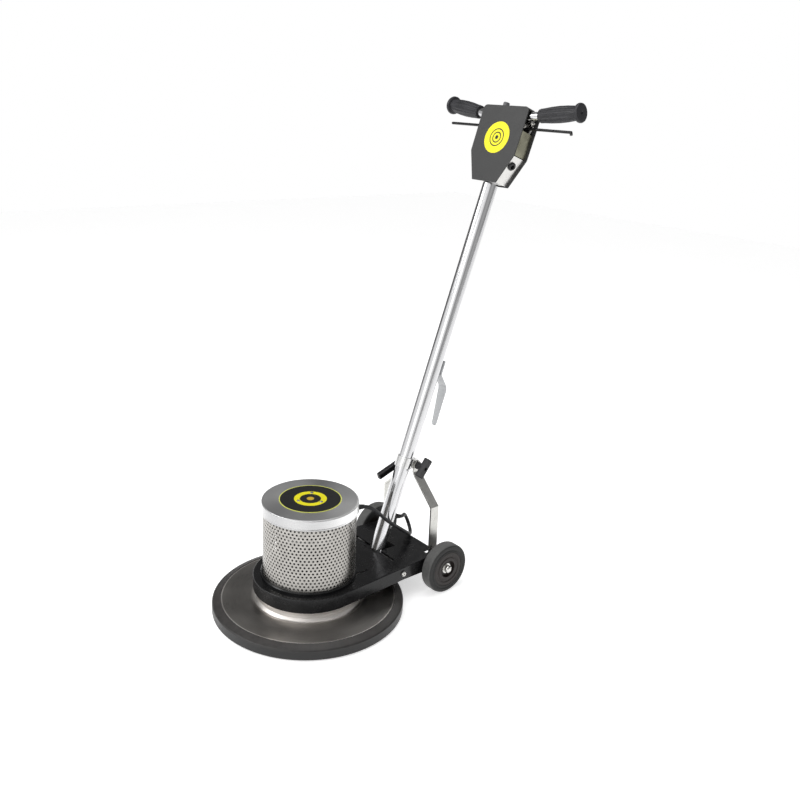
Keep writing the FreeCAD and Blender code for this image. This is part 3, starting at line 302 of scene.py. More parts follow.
# ------------------------ finishes
class Finish:
    """A procedural material under construction: a shader, its nodes and shorthand to join them."""

    def __init__(self, name, metallic=0.0, roughness=0.4, colour=(0.5, 0.5, 0.5)):
        self.material = bpy.data.materials.new(name)
        self.material.use_nodes = True
        self.tree = self.material.node_tree
        self.shader = self.tree.nodes["Principled BSDF"]
        self.set(Metallic=metallic, Roughness=roughness)
        self.shader.inputs["Base Color"].default_value = (*colour, 1)
        self.place = self.node("ShaderNodeTexCoord").outputs["Object"]

    def set(self, **sockets):
        for name, value in sockets.items():
            self.shader.inputs[name.replace("_", " ")].default_value = value

    def node(self, kind, **values):
        node = self.tree.nodes.new(kind)
        for key, value in values.items():
            setattr(node, key, value)
        return node

    def join(self, source, target):
        self.tree.links.new(source, target)

    def to_shader(self, source, socket):
        self.join(source, self.shader.inputs[socket])

    def put(self, socket, value):
        """Sets a socket to a number or a colour, or joins another node to it."""
        if isinstance(value, (int, float)):
            socket.default_value = value
        elif isinstance(value, (tuple, list)):
            socket.default_value = (*value, 1)
        else:
            self.join(value, socket)

    def math(self, operation, first, second=None):
        node = self.node("ShaderNodeMath", operation=operation)
        self.put(node.inputs[0], first)
        if second is not None:
            self.put(node.inputs[1], second)
        return node.outputs[0]

    def shifted(self, centre=(0, 0, 0), turn=(0, 0, 0), scale=(1, 1, 1), source=None):
        """Object coordinates measured from a centre, turned and scaled."""
        node = self.node("ShaderNodeMapping", vector_type="TEXTURE")
        node.inputs["Location"].default_value = centre
        node.inputs["Rotation"].default_value = turn
        node.inputs["Scale"].default_value = scale
        self.join(source or self.place, node.inputs["Vector"])
        return node.outputs[0]

    def noise(self, scale, detail=4.0, rough=0.6, source=None):
        node = self.node("ShaderNodeTexNoise")
        node.inputs["Scale"].default_value = scale
        node.inputs["Detail"].default_value = detail
        node.inputs["Roughness"].default_value = rough
        self.join(source or self.place, node.inputs["Vector"])
        return node.outputs["Fac"]

    def split(self, source=None):
        """X, Y and Z of a point."""
        parts = self.node("ShaderNodeSeparateXYZ")
        self.join(source or self.place, parts.inputs[0])
        return parts.outputs

    def polar(self):
        """Radius, angle and height of a point about Z."""
        x, y, z = self.split()
        square = self.math("ADD", self.math("MULTIPLY", x, x), self.math("MULTIPLY", y, y))
        return self.math("SQRT", square), self.math("ARCTAN2", y, x), z

    def vector(self, x, y, z):
        node = self.node("ShaderNodeCombineXYZ")
        for socket, value in zip(node.inputs, (x, y, z)):
            self.put(socket, value)
        return node.outputs[0]

    def spread(self, source, low, high, out_low, out_high):
        node = self.node("ShaderNodeMapRange")
        for name, value in (("From Min", low), ("From Max", high),
                            ("To Min", out_low), ("To Max", out_high)):
            node.inputs[name].default_value = value
        self.join(source, node.inputs["Value"])
        return node.outputs[0]

    def dull(self, source, low, high, least, most):
        """Roughness that follows a pattern."""
        self.to_shader(self.spread(source, low, high, least, most), "Roughness")

    def bands(self, source, stops, smooth=True):
        """A colour ramp: (position, colour) stops."""
        node = self.node("ShaderNodeValToRGB")
        ramp = node.color_ramp
        ramp.interpolation = "LINEAR" if smooth else "CONSTANT"
        while len(ramp.elements) < len(stops):
            ramp.elements.new(0.5)
        for element, (place, colour) in zip(ramp.elements, stops):
            element.position = place
            element.color = (*colour, 1)
        self.join(source, node.inputs[0])
        return node.outputs[0]

    def mix(self, amount, first, second, blend="MIX"):
        node = self.node("ShaderNodeMix", data_type="RGBA", blend_type=blend)
        for number, value in ((0, amount), (6, first), (7, second)):
            self.put(node.inputs[number], value)
        return node.outputs[2]

    def bump(self, height, strength=0.2, distance=0.0005):
        node = self.node("ShaderNodeBump")
        node.inputs["Strength"].default_value = strength
        node.inputs["Distance"].default_value = distance
        self.join(height, node.inputs["Height"])
        self.to_shader(node.outputs[0], "Normal")


def shade(colour, factor):
    """A lighter or darker copy of a colour."""
    return tuple(min(1.0, channel * factor) for channel in colour[:3])


def grey(tone):
    """The same number for red, green and blue."""
    return (tone, tone, tone)


def spun_steel(name, colour, roughness=0.35, contrast=0.22, grain=260.0, rings=()):
    """Sheet turned on a lathe: fine rings round Z, soft smudges, and bright or dark bands by
    radius.
    Each band in rings is (radius, brightness) and fades into the next; its bright bands are
    painted highlights."""
    made = Finish(name, metallic=1.0, roughness=roughness)
    radius, turn, height = made.polar()
    round_way = made.vector(made.math("MULTIPLY", radius, grain),
                            made.math("MULTIPLY", turn, 1.6),
                            made.math("MULTIPLY", height, grain))
    lines = made.noise(3.0, 6.0, 0.7, round_way)
    smudge = made.noise(9.0, 3.0, 0.55)
    tone = made.bands(lines, [(0.30, shade(colour, 1 - contrast)),
                              (0.72, shade(colour, 1 + contrast))])
    marks = made.bands(smudge, [(0.25, grey(0.80)), (0.75, grey(1.0))])
    tone = made.mix(1.0, tone, marks, "MULTIPLY")
    # Painted highlights: the rings brighten or darken the colour by radius.
    if rings:
        reach = made.math("DIVIDE", radius, rings[-1][0])
        stops = [(r / rings[-1][0], grey(b)) for r, b in rings]
        painted_highlights = made.bands(reach, stops)
        tone = made.mix(1.0, tone, painted_highlights, "MULTIPLY")
    made.to_shader(tone, "Base Color")
    worn = made.math("ADD", made.spread(lines, 0.3, 0.7, -0.06, 0.06),
                     made.spread(smudge, 0.3, 0.7, roughness - 0.05, roughness + 0.07))
    made.to_shader(worn, "Roughness")
    made.bump(lines, 0.12, 0.0002)
    return made.material


def sheet_steel(name, colour, roughness=0.3, along=(1, 1, 14), turn=(0, 0, 0), contrast=0.16):
    """Rolled or plated steel: faint drawn lines one way and cloudy patches."""
    made = Finish(name, metallic=1.0, roughness=roughness)
    drawn = made.shifted(turn=turn, scale=along)
    lines = made.noise(420.0, 5.0, 0.65, drawn)
    cloud = made.noise(34.0, 4.0, 0.6)
    tone = made.bands(lines, [(0.28, shade(colour, 1 - contrast)),
                              (0.75, shade(colour, 1 + contrast))])
    patch = made.bands(cloud, [(0.30, (0.78, 0.78, 0.77)), (0.70, grey(1.0))])
    made.to_shader(made.mix(1.0, tone, patch, "MULTIPLY"), "Base Color")
    made.dull(cloud, 0.3, 0.7, roughness - 0.07, roughness + 0.10)
    made.bump(lines, 0.10, 0.0002)
    return made.material


def polished_tube(name):
    """Chromed tube: nearly a mirror, with faint polishing marks and a few dull patches."""
    colour = (0.70, 0.70, 0.71)
    made = Finish(name, metallic=1.0, roughness=0.13)
    along = made.shifted(turn=(-LEAN, 0, 0), scale=(1, 1, 30))
    marks = made.noise(700.0, 4.0, 0.6, along)
    dull = made.noise(22.0, 5.0, 0.65)
    made.to_shader(made.bands(marks, [(0.25, shade(colour, 0.92)), (0.8, colour)]), "Base Color")
    made.to_shader(made.math("ADD", made.spread(dull, 0.35, 0.75, 0.10, 0.20),
                             made.spread(marks, 0.3, 0.7, 0.0, 0.03)), "Roughness")
    made.bump(marks, 0.04, 0.0001)
    return made.material


def gloss_paint(name, colour, roughness=0.26, dust=0.5, shine=0.3):
    """Sprayed gloss paint: orange peel, a trace of dust and thin scuffs."""
    colour = tuple(colour)
    made = Finish(name, roughness=roughness)
    peel = made.noise(520.0, 2.0, 0.5)
    film = made.noise(46.0, 6.0, 0.7)
    tone = made.bands(film, [(0.35, colour), (0.85, shade(tuple(c + 0.008 for c in colour), 1.3))])
    made.to_shader(made.mix(dust, colour, tone), "Base Color")
    made.dull(film, 0.3, 0.75, roughness - 0.05, roughness + 0.14)
    made.set(Specular_IOR_Level=shine)
    made.bump(peel, 0.06, 0.0003)
    return made.material


def moulded(name, colour, roughness=0.5, grain=900.0, strength=0.18, fade=1.5, shine=0.3):
    """Moulded plastic or rubber: fine grain with paler, drier patches."""
    made = Finish(name, roughness=roughness)
    skin = made.noise(grain, 3.0, 0.6)
    patch = made.noise(30.0, 5.0, 0.65)
    made.to_shader(made.bands(patch, [(0.30, colour), (0.78, shade(colour, fade))]), "Base Color")
    made.dull(patch, 0.3, 0.75, roughness - 0.06, roughness + 0.12)
    made.set(Specular_IOR_Level=shine)
    made.bump(skin, strength, 0.0003)
    return made.material


def tread_rubber(name, colour):
    """Wheel rubber: the side is smooth and dark, the tread is scuffed paler by the floor."""
    made = Finish(name, roughness=0.6)
    low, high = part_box("wheel_tyre_right")
    hub = (low + high) / 2
    _, y, z = made.split()
    dy = made.math("SUBTRACT", y, hub.y)
    dz = made.math("SUBTRACT", z, hub.z)
    reach = made.math("SQRT", made.math("ADD", made.math("MULTIPLY", dy, dy),
                                        made.math("MULTIPLY", dz, dz)))
    outer = high.z - hub.z
    worn = made.spread(reach, outer - 0.0030, outer - 0.0008, 0.0, 1.0)
    scuff = made.noise(160.0, 6.0, 0.7)
    dark = made.bands(scuff, [(0.3, shade(colour, 0.20)), (0.8, shade(colour, 0.34))])
    pale = made.bands(scuff, [(0.3, shade(colour, 0.75)), (0.8, shade(colour, 1.3))])
    made.to_shader(made.mix(worn, dark, pale), "Base Color")
    made.dull(scuff, 0.3, 0.7, 0.42, 0.66)
    made.set(Specular_IOR_Level=0.25)
    made.bump(made.noise(800.0, 3.0, 0.6), 0.2, 0.0003)
    return made.material


def printed_rings(name, centre, stops, film):
    """A printed film of concentric rings: (radius, colour) stops from the centre outwards."""
    made = Finish(name, roughness=film)
    length = made.node("ShaderNodeVectorMath", operation="LENGTH")
    made.join(made.shifted(centre=centre), length.inputs[0])
    last = stops[-1][0]
    reach = made.math("DIVIDE", length.outputs["Value"], last)
    rings = made.bands(reach, [(r / last, c) for r, c in stops], smooth=False)
    fade = made.bands(made.noise(60.0, 5.0, 0.6), [(0.3, grey(0.88)), (0.7, grey(1))])
    made.to_shader(made.mix(1.0, rings, fade, "MULTIPLY"), "Base Color")
    made.to_shader(made.spread(made.noise(90.0, 4.0, 0.6), 0.3, 0.7, film - 0.06, film + 0.1),
                   "Roughness")
    made.set(Specular_IOR_Level=0.3)
    made.bump(made.noise(600.0, 2.0, 0.5), 0.05, 0.0002)
    return made.material


def cast_metal(name, colour, roughness=0.5):
    """Sand-cast alloy or iron: coarse grain and uneven tone."""
    made = Finish(name, metallic=1.0, roughness=roughness)
    grain = made.noise(380.0, 6.0, 0.7)
    cloud = made.noise(40.0, 4.0, 0.6)
    made.to_shader(made.bands(cloud, [(0.3, shade(colour, 0.7)), (0.75, colour)]), "Base Color")
    made.dull(grain, 0.3, 0.7, roughness - 0.1, roughness + 0.12)
    made.bump(grain, 0.35, 0.0006)
    return made.material


def cap_steel():
    """The cap: turned rings on top, with broad lighter and darker sectors of painted reflection;
    satin on the skirt.
    """
    made = Finish("cap_satin_steel", metallic=1.0, roughness=0.34)
    radius, turn, height = made.polar()
    round_way = made.vector(made.math("MULTIPLY", radius, 420.0),
                            made.math("MULTIPLY", turn, 1.3),
                            made.math("MULTIPLY", height, 300.0))
    lines = made.noise(3.0, 6.0, 0.7, round_way)
    # Painted reflection: lighter and darker sectors by angle round the cap, in its colour.
    sweep = made.math("SINE", made.math("ADD", made.math("MULTIPLY", turn, 2.0), 0.6))
    narrow = made.math("SINE", made.math("MULTIPLY", turn, 5.0))
    both = made.math("ADD", sweep, made.math("MULTIPLY", narrow, 0.35))
    painted_sheen = made.bands(made.spread(both, -1.3, 1.3, 0.0, 1.0),
                       [(0.0, (0.46, 0.46, 0.465)), (0.45, grey(0.66)),
                        (1.0, (0.88, 0.88, 0.875))])
    grain = made.bands(lines, [(0.3, grey(0.90)), (0.72, grey(1.0))])
    made.to_shader(made.mix(1.0, painted_sheen, grain, "MULTIPLY"), "Base Color")
    flat = made.spread(height, CAP_HIGH.z - 0.004, CAP_HIGH.z - 0.001, 0.0, 0.14)
    dull = made.spread(made.noise(12.0, 4.0, 0.6), 0.3, 0.7, 0.20, 0.30)
    made.to_shader(made.math("ADD", flat, dull), "Roughness")
    made.bump(lines, 0.08, 0.0002)
    return made.material


def bumper_rubber():
    """Bumper: near-black sides, and a paler face on top."""
    made = Finish("bumper_rubber", roughness=0.40)
    _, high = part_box("bumper")
    _, _, height = made.polar()
    scuff = made.noise(45.0, 6.0, 0.7)
    side = made.bands(scuff, [(0.3, grey(0.008)), (0.8, grey(0.016))])
    face = made.bands(scuff, [(0.3, (0.030, 0.028, 0.027)), (0.8, (0.052, 0.048, 0.046))])
    over = made.spread(height, high.z - 0.012, high.z - 0.004, 0.0, 1.0)
    made.to_shader(made.mix(over, side, face), "Base Color")
    made.dull(scuff, 0.3, 0.7, 0.34, 0.50)
    made.set(Specular_IOR_Level=0.4)
    made.bump(made.noise(620.0, 3.0, 0.6), 0.10, 0.0003)
    return made.material


def panel_alloy():
    """Head's side panels: a dull yellowish upper panel, brighter below the knee."""
    made = Finish("head_panel_alloy", metallic=1.0, roughness=0.30)
    leaned = made.shifted(centre=tuple(PIVOT), turn=(-LEAN, 0, 0))
    _, _, along = made.split(leaned)
    drawn = made.noise(380.0, 5.0, 0.65, made.shifted(scale=(1, 1, 16), source=leaned))
    cloud = made.noise(30.0, 4.0, 0.6)
    upper = made.bands(cloud, [(0.3, (0.36, 0.35, 0.26)), (0.7, (0.50, 0.49, 0.37))])
    lower = made.bands(cloud, [(0.3, (0.66, 0.65, 0.63)), (0.7, (0.80, 0.79, 0.77))])
    knee = made.spread(along, 1.0565, 1.0575, 0.0, 1.0)
    grain = made.bands(drawn, [(0.3, grey(0.90)), (0.75, grey(1.0))])
    made.to_shader(made.mix(1.0, made.mix(knee, lower, upper), grain, "MULTIPLY"), "Base Color")
    made.dull(cloud, 0.3, 0.7, 0.24, 0.40)
    made.bump(drawn, 0.08, 0.0002)
    return made.material


def woven_pad(name, colour):
    """Non-woven floor pad: a mat of coarse crossing fibres."""
    made = Finish(name, roughness=0.9)
    first = made.noise(420.0, 8.0, 0.8, made.shifted(turn=(0, 0, 0.7), scale=(1, 6, 1)))
    second = made.noise(420.0, 8.0, 0.8, made.shifted(turn=(0, 0, -0.8), scale=(6, 1, 1)))
    fibres = made.math("MAXIMUM", first, second)
    made.to_shader(made.bands(fibres, [(0.45, shade(colour, 0.25)), (0.62, colour),
                                       (0.8, shade(colour, 1.5))]), "Base Color")
    made.set(Sheen_Weight=0.3, Sheen_Roughness=0.6)
    made.bump(fibres, 0.9, 0.002)
    return made.material


def coat(material, *names):
    """Gives CAD nodes a finish, in every material slot they have."""
    for name in names:
        node = NODES[name]
        if not node.material_slots:
            node.data.materials.append(material)
        for slot in node.material_slots:
            slot.material = material


# ------------------------ pieces
class BURNISHER_OT_sleeve(bpy.types.Operator):
    """Perforated sheet rolled into the sleeve round the motor"""
    bl_idname = "burnisher.sleeve"
    bl_label = "Perforated sleeve"

    def execute(self, context):
        sizes = context.scene.burnisher_perforation
        radius = SLEEVE_HIGH.x
        foot = SLEEVE_LOW.z
        top = CAP_HIGH.z - 0.0020
        border = 0.0022
        wide = 2 * math.pi * radius / sizes.columns
        tall = (CAP_LOW.z - foot - border) / sizes.rows
        clear()
        bpy.ops.mesh.primitive_circle_add(vertices=8, radius=sizes.hole / 2)
        sheet = start("perforated_sleeve")
        bpy.ops.mesh.extrude_region_move()
        bpy.ops.transform.resize(value=(wide / sizes.hole, tall / sizes.hole, 1))
        reach = 0.55 * min(wide, tall) / 2
        pick(sheet, "VERT", lambda middle, part: abs(middle.x) > reach and abs(middle.y) > reach)
        bpy.ops.transform.resize(value=(math.sqrt(2), math.sqrt(2), 1))
        bpy.ops.mesh.select_all(action="SELECT")
        bpy.ops.transform.translate(value=(wide / 2, tall / 2, 0))
        bpy.ops.object.mode_set(mode="OBJECT")
        add_modifier(sheet, "ARRAY", count=sizes.columns, use_relative_offset=False,
                     use_constant_offset=True, constant_offset_displace=(wide, 0, 0),
                     use_merge_vertices=True, merge_threshold=SEAM)
        edit_all()
        bpy.ops.mesh.duplicate_move(TRANSFORM_OT_translate={"value": (wide / 2, tall, 0)})
        bpy.ops.object.mode_set(mode="OBJECT")
        add_modifier(sheet, "ARRAY", count=(sizes.rows + 3) // 2, use_relative_offset=False,
                     use_constant_offset=True, constant_offset_displace=(0, 2 * tall, 0),
                     use_merge_vertices=True, merge_threshold=SEAM)
        bpy.ops.object.mode_set(mode="EDIT")
        high = tall * sizes.rows
        pick(sheet, "FACE", lambda middle, part: middle.y > high + 2 * SEAM)
        bpy.ops.mesh.delete(type="FACE")
        bpy.ops.mesh.select_all(action="SELECT")
        bpy.ops.mesh.remove_doubles(threshold=SEAM)
        pick(sheet, "EDGE", lambda middle, part: middle.y > high - SEAM)
        extrude((0, top - foot - border - high, 0))
        pick(sheet, "EDGE", lambda middle, part: middle.y < SEAM)
        extrude((0, -border, 0))
        bpy.ops.mesh.select_all(action="SELECT")
        bpy.ops.transform.translate(value=(0, border, 0))
        bpy.ops.object.mode_set(mode="OBJECT")
        sheet.matrix_world = Matrix.Rotation(math.pi / 2, 4, "X")
        bpy.ops.object.transform_apply(location=True, rotation=True, scale=True)
        span = sheet.dimensions.x
        add_modifier(sheet, "SIMPLE_DEFORM", deform_method="BEND", deform_axis="Z",
                     angle=2 * math.pi * span / (wide * sizes.columns))
        xs = [corner.co.x for corner in sheet.data.vertices]
        ys = [corner.co.y for corner in sheet.data.vertices]
        middle = Vector(((min(xs) + max(xs)) / 2, (min(ys) + max(ys)) / 2, 0))
        edit_all()
        bpy.ops.transform.translate(value=(-middle.x, -middle.y, foot))
        close_up(0.0002)
        settle(sheet)
        add_modifier(sheet, "SOLIDIFY", thickness=sizes.sheet, offset=-1.0)
        settle_edges(sheet)
        paint(sheet, spun_steel("sleeve_satin_steel", (0.45, 0.435, 0.41), 0.27, 0.18, 40.0))
        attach(sheet, "chassis")
        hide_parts("perforated_cover")
        return {"FINISHED"}


class BURNISHER_OT_cap(bpy.types.Operator):
    """Spun cap with its rolled edge, over the top of the sleeve"""
    bl_idname = "burnisher.cap"
    bl_label = "Cap"

    def execute(self, context):
        sizes = context.scene.burnisher_cap
        reach = CAP_HIGH.x
        low, top = CAP_LOW.z, CAP_HIGH.z
        bead, sheet = sizes.bead, sizes.sheet
        shell = reach - 0.0010
        outline = [(0.0, top), (0.030, top), (0.060, top - 0.0001), (shell - 0.010, top - 0.0002)]
        outline += [(shell - 0.0045, top - 0.0004)]
        outline += arc(shell - 0.0032, top - 0.0036, 0.0032, 80, 0, 5)
        outline += [(shell, low + 2 * bead + 0.0010), (shell + 0.0002, low + 2 * bead)]
        outline += arc(reach - bead, low + bead, bead, 60, -180, 10)[1:]
        outline += [(shell - sheet, low + 2 * bead), (shell - sheet, top - 0.0050)]
        outline += [(shell - 0.0060, top - sheet - 0.0004), (0.0, top - sheet)]
        cap = turned("cap", outline, 128, angle=28)
        paint(cap, cap_steel())
        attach(cap, "chassis")
        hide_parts("cover_cap")
        return {"FINISHED"}


class BURNISHER_OT_grips(bpy.types.Operator):
    """Two fluted rubber grips with a flange at the outer end"""
    bl_idname = "burnisher.grips"
    bl_label = "Grips"

    def execute(self, context):
        sizes = context.scene.burnisher_grips
        rubber = moulded("grip_rubber", (0.016, 0.016, 0.018), 0.42, 900.0, 0.12, 2.0, 0.35)
        for side, sign in (("left", -1), ("right", 1)):
            grip = self.one_grip("grip_" + side, sizes, sign)
            paint(grip, rubber)
            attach(grip, "handle")
            if sign > 0:
                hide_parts("grips")
        return {"FINISHED"}

    def one_grip(self, name, sizes, sign):
        long, thick = sizes.length, sizes.radius
        bore = BAR_RADIUS + 0.0001
        outline = [(bore, 0.0), (thick - 0.0045, 0.0), (thick - 0.0030, 0.0015)]
        outline += [(thick - 0.0026, long * 0.10), (thick - 0.0008, long * 0.28)]
        outline += [(thick, long * 0.48), (thick - 0.0006, long * 0.66)]
        outline += [(thick - 0.0026, long * 0.86), (thick - 0.0028, long - 0.0105)]
        outline += [(thick + 0.0022, long - 0.0090), (thick + 0.0031, long - 0.0070)]
        outline += [(thick + 0.0032, long - 0.0035), (thick + 0.0020, long - 0.0010)]
        outline += [(thick - 0.0010, long), (0.0042, long), (0.0026, long - 0.0008)]
        outline += [(0.0026, long - 0.0038), (bore, long - 0.0039), (bore, 0.0)]
        grip = turned(name, outline, sizes.flutes * 6, angle=40)
        bpy.ops.object.mode_set(mode="EDIT")
        step = 2 * math.pi / sizes.flutes

        def in_flute(middle, part):
            turn = (math.atan2(middle.y, middle.x) / step) % 1.0
            out = math.hypot(middle.x, middle.y)
            along = 0.0012 < middle.z < long - 0.0108
            return along and out > bore + 0.0012 and 0.30 < turn < 0.70

        pick(grip, "VERT", in_flute)
        shrink = 1 - sizes.flute / thick
        bpy.ops.transform.resize(value=(shrink, shrink, 1), center_override=(0, 0, 0))
        way = (HANDLE.to_3x3() @ Vector((sign * BAR_WAY.x, BAR_WAY.y, BAR_WAY.z))).normalized()
        place = handle_point(*BAR_MIDDLE) + way * (BAR_REACH - long)
        return settle(grip, facing(place, way), 40)


class BURNISHER_OT_lead(bpy.types.Operator):
    """Motor lead looping from the sleeve to the handle, with a tapered boot at each end"""
    bl_idname = "burnisher.lead"
    bl_label = "Motor lead"

    def execute(self, context):
        sizes = context.scene.burnisher_lead
        out = Vector((math.cos(GLAND_TURN), math.sin(GLAND_TURN), 0))
        wall = out * SLEEVE_HIGH.x + Vector((0, 0, GLAND_HEIGHT))
        first = wall + out * 0.014
        last = handle_point(0, TUBE_BACK + TUBE_RADIUS + BOOT_SEAT, GROMMET_ALONG)
        back = HANDLE.to_3x3() @ Vector((0, 1, 0))
        route = [first, first + out * 0.018, Vector((0.048, 0.164, 0.224)),
                 Vector((0.040, 0.202, 0.186)), Vector((0.033, 0.238, 0.157)),
                 Vector((0.028, 0.272, 0.131)), Vector((0.018, 0.303, 0.107)),
                 Vector((-0.004, 0.326, 0.098)), Vector((-0.026, 0.334, 0.117)),
                 Vector((-0.024, 0.318, 0.146)), last + back * 0.022, last]
        line = bpy.data.curves.new("lead_line", "CURVE")
        line.dimensions = "3D"
        line.resolution_u = 16
        spline = line.splines.new("NURBS")
        spline.points.add(len(route) - 1)
        for point, place in zip(spline.points, route):
            point.co = (*place, 1)
        spline.order_u = 3
        spline.use_endpoint_u = True
        lead = bpy.data.objects.new("motor_lead_cord", line)
        context.scene.collection.objects.link(lead)
        context.view_layer.update()
        bare = bpy.data.meshes.new_from_object(lead)
        bpy.data.meshes.remove(bare)
        line.bevel_depth = sizes.diameter / 2
        line.bevel_resolution = 5
        line.use_fill_caps = True
        only(lead)
        bpy.ops.object.convert(target="MESH")
        lead = context.object
        lead.name = "motor_lead_cord"
        bpy.ops.object.mode_set(mode="EDIT")
        close_up(WELD)
        settle(lead)
        rubber = moulded("lead_rubber", (0.016, 0.016, 0.017), 0.5, 700.0, 0.10, 2.0)
        paint(lead, rubber)
        for name, place, way, body, node in (
                ("gland_boot", wall, out, "chassis", "lead_gland"),
                ("grommet_boot", last - back * BOOT_SEAT, back, "handle", "lead_grommet")):
            boot = self.boot(name, sizes, facing(place, way))
            paint(boot, rubber)
            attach(boot, body)
            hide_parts(node)
        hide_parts("motor_lead")
        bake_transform(lead)
        return {"FINISHED"}

    def boot(self, name, sizes, matrix):
        """A flange, then a ribbed cone that narrows to the lead."""
        tight = sizes.diameter / 2 + 0.0002
        long = sizes.boot
        outline = [(tight, -0.0020), (0.0080, -0.0020), (0.0082, 0.0004), (0.0082, 0.0030),
                   (0.0074, 0.0042), (0.0070, 0.0060)]
        for rib in range(4):
            height = 0.0072 + rib * (long - 0.0090) / 4
            thick = 0.0070 - rib * 0.00045
            outline += [(thick, height), (thick, height + 0.0022),
                        (thick - 0.0010, height + 0.0027), (thick - 0.0010, height + 0.0034)]
        outline += [(tight + 0.0006, long), (tight, long), (tight, -0.0020)]
        return turned(name, outline, 32, matrix, 40)


class BURNISHER_OT_pad(bpy.types.Operator):
    """Non-woven floor pad with softly rounded edges"""
    bl_idname = "burnisher.pad"
    bl_label = "Floor pad"

    def execute(self, context):
        reach = PAD_HIGH.x
        low, high = PAD_LOW.z, PAD_HIGH.z
        thick = high - low
        bore = 0.040
        outline = [(bore, low + 0.001), (bore + 0.003, low), (reach * 0.6, low),
                   (reach - 0.005, low)]
        outline += arc(reach - 0.0045, low + 0.0045, 0.0040, -70, 0, 4)
        outline += [(reach, low + thick / 2)]
        outline += arc(reach - 0.0045, high - 0.0045, 0.0040, 0, 80, 4)
        outline += [(reach * 0.6, high), (bore + 0.002, high), (bore, high - 0.001)]
        outline += [(bore, low + 0.001)]
        pad = turned("fibre_pad", outline, 160, angle=50)
        paint(pad, woven_pad("pad_fibre", (0.42, 0.12, 0.10)))
        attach(pad, "rotor")
        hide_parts("floor_pad")
        return {"FINISHED"}


class BURNISHER_OT_shade_sheet(bpy.types.Operator):
    """Shallow black pan that closes the chassis under the handle's opening: painted shade, a dark
    sheet where the opening shows only shade
    """
    bl_idname = "burnisher.guard"
    bl_label = "Belly guard"

    def execute(self, context):
        clear()
        bpy.ops.mesh.primitive_cube_add(size=1.0)
        # Painted shade: a black pan that keeps the bright floor out of the opening.
        shade_sheet = start("painted_shade_sheet")
        bpy.ops.transform.resize(value=SHADE_SHEET_SIZE)
        bpy.ops.transform.translate(value=(0, PIVOT.y + SHADE_SHEET_BEHIND, SHADE_SHEET_HEIGHT))
        pick(shade_sheet, "FACE", lambda middle, part: middle.z > 0.047)
        bpy.ops.mesh.delete(type="FACE")
        pick(shade_sheet, "EDGE", lambda middle, part: len(part.link_faces) == 2)
        bpy.ops.mesh.bevel(offset=0.004, segments=3)
        close_up()
        settle(shade_sheet)
        add_modifier(shade_sheet, "SOLIDIFY", thickness=0.0012, offset=-1.0)
        settle_edges(shade_sheet)
        paint(shade_sheet, gloss_paint("shade_sheet_black_paint", (0.006, 0.006, 0.006), 0.6, 0.4, 0.15))
        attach(shade_sheet, "chassis")
        return {"FINISHED"}


class BURNISHER_OT_head_hardware(bpy.types.Operator):
    """Return spring and nuts seen in the head's open side"""
    bl_idname = "burnisher.head_hardware"
    bl_label = "Head hardware"

    def execute(self, context):
        bright = sheet_steel("spring_steel", (0.80, 0.79, 0.76), 0.18, (1, 1, 2))
        pieces = []
        way = HANDLE.to_3x3() @ Vector((1, 0, 0))
        for count, (x, back, along) in enumerate((
                (0.0630, 0.0200, 1.1620), (0.0630, 0.0210, 1.1470), (0.0630, -0.0060, 1.1310))):
            place = handle_point(x, back, along)
            bolt = turned("head_nut_%d" % count, [
                (0.0, 0.0), (0.0062, 0.0), (0.0066, 0.0005), (0.0066, 0.0042), (0.0062, 0.0048),
                (0.0028, 0.0048), (0.0028, 0.0095), (0.0024, 0.0100), (0.0, 0.0100)],
                6, facing(place, way), 20)
            pieces.append(bolt)
        coils, corners, wire, long = 14, 8, 0.0006, 0.028
        clear()
        bpy.ops.mesh.primitive_circle_add(vertices=corners, radius=wire)
        spring = start("return_spring")
        bpy.ops.transform.rotate(value=math.pi / 2, orient_axis="X", center_override=(0, 0, 0))
        bpy.ops.transform.translate(value=(0.0034, 0, 0))
        bpy.ops.mesh.spin(steps=coils * 12, angle=coils * 2 * math.pi,
                          center=(0, 0, 0), axis=(0, 0, 1))
        mesh = bmesh.from_edit_mesh(spring.data)
        rings = [mesh.verts[i:i + corners] for i in range(0, len(mesh.verts), corners)]
        for step, ring in enumerate(rings):
            for corner in ring:
                corner.co.z += step * long / len(rings)
        bmesh.update_edit_mesh(spring.data)
        pick(spring, "EDGE", lambda middle, part: part.is_boundary)
        bpy.ops.mesh.fill_holes(sides=0)
        close_up()
        up = HANDLE.to_3x3() @ Vector((0.10, 0.35, 1.0))
        settle(spring, facing(handle_point(0.0620, 0.0195, 1.1150), up), 60)
        pieces.append(spring)
        for piece in pieces:
            paint(piece, bright)
            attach(piece, "handle")
        return {"FINISHED"}


# ------------------------ finishes of the CAD nodes
class BURNISHER_OT_deck_finish(bpy.types.Operator):
    """Spun deck, rubber bumper and the drive parts under it"""
    bl_idname = "burnisher.deck_finish"
    bl_label = "Deck finishes"

    def execute(self, context):
        colours = context.scene.burnisher_colours
        # Painted highlights: bright bands at the rounded step (0.120 to 0.134) and along the rim
        # (0.2078 to 0.2100); the other bands make the deck lighter or darker by radius.
        deck = spun_steel("deck_spun_steel", colours.deck, 0.34, 0.16, 520.0,
                          [(0.0, 1.2), (0.120, 1.9), (0.134, 2.0), (0.140, 0.95), (0.165, 0.82),
                           (0.2000, 0.92), (0.2066, 1.0), (0.2078, 2.6), (0.2100, 2.6),
                           (0.2245, 2.1)])
        coat(deck, "deck_housing")
        coat(bumper_rubber(), "bumper")
        driver = moulded("driver_plastic", (0.05, 0.05, 0.055), 0.55)
        coat(driver, "pad_driver", "pad_lock", "cooling_fan")
        steel = sheet_steel("turned_steel", colours.steel, 0.28, (1, 1, 5))
        coat(steel, "driver_bolt", "armature_shaft", "shaft_bearings", "armature_core")
        return {"FINISHED"}


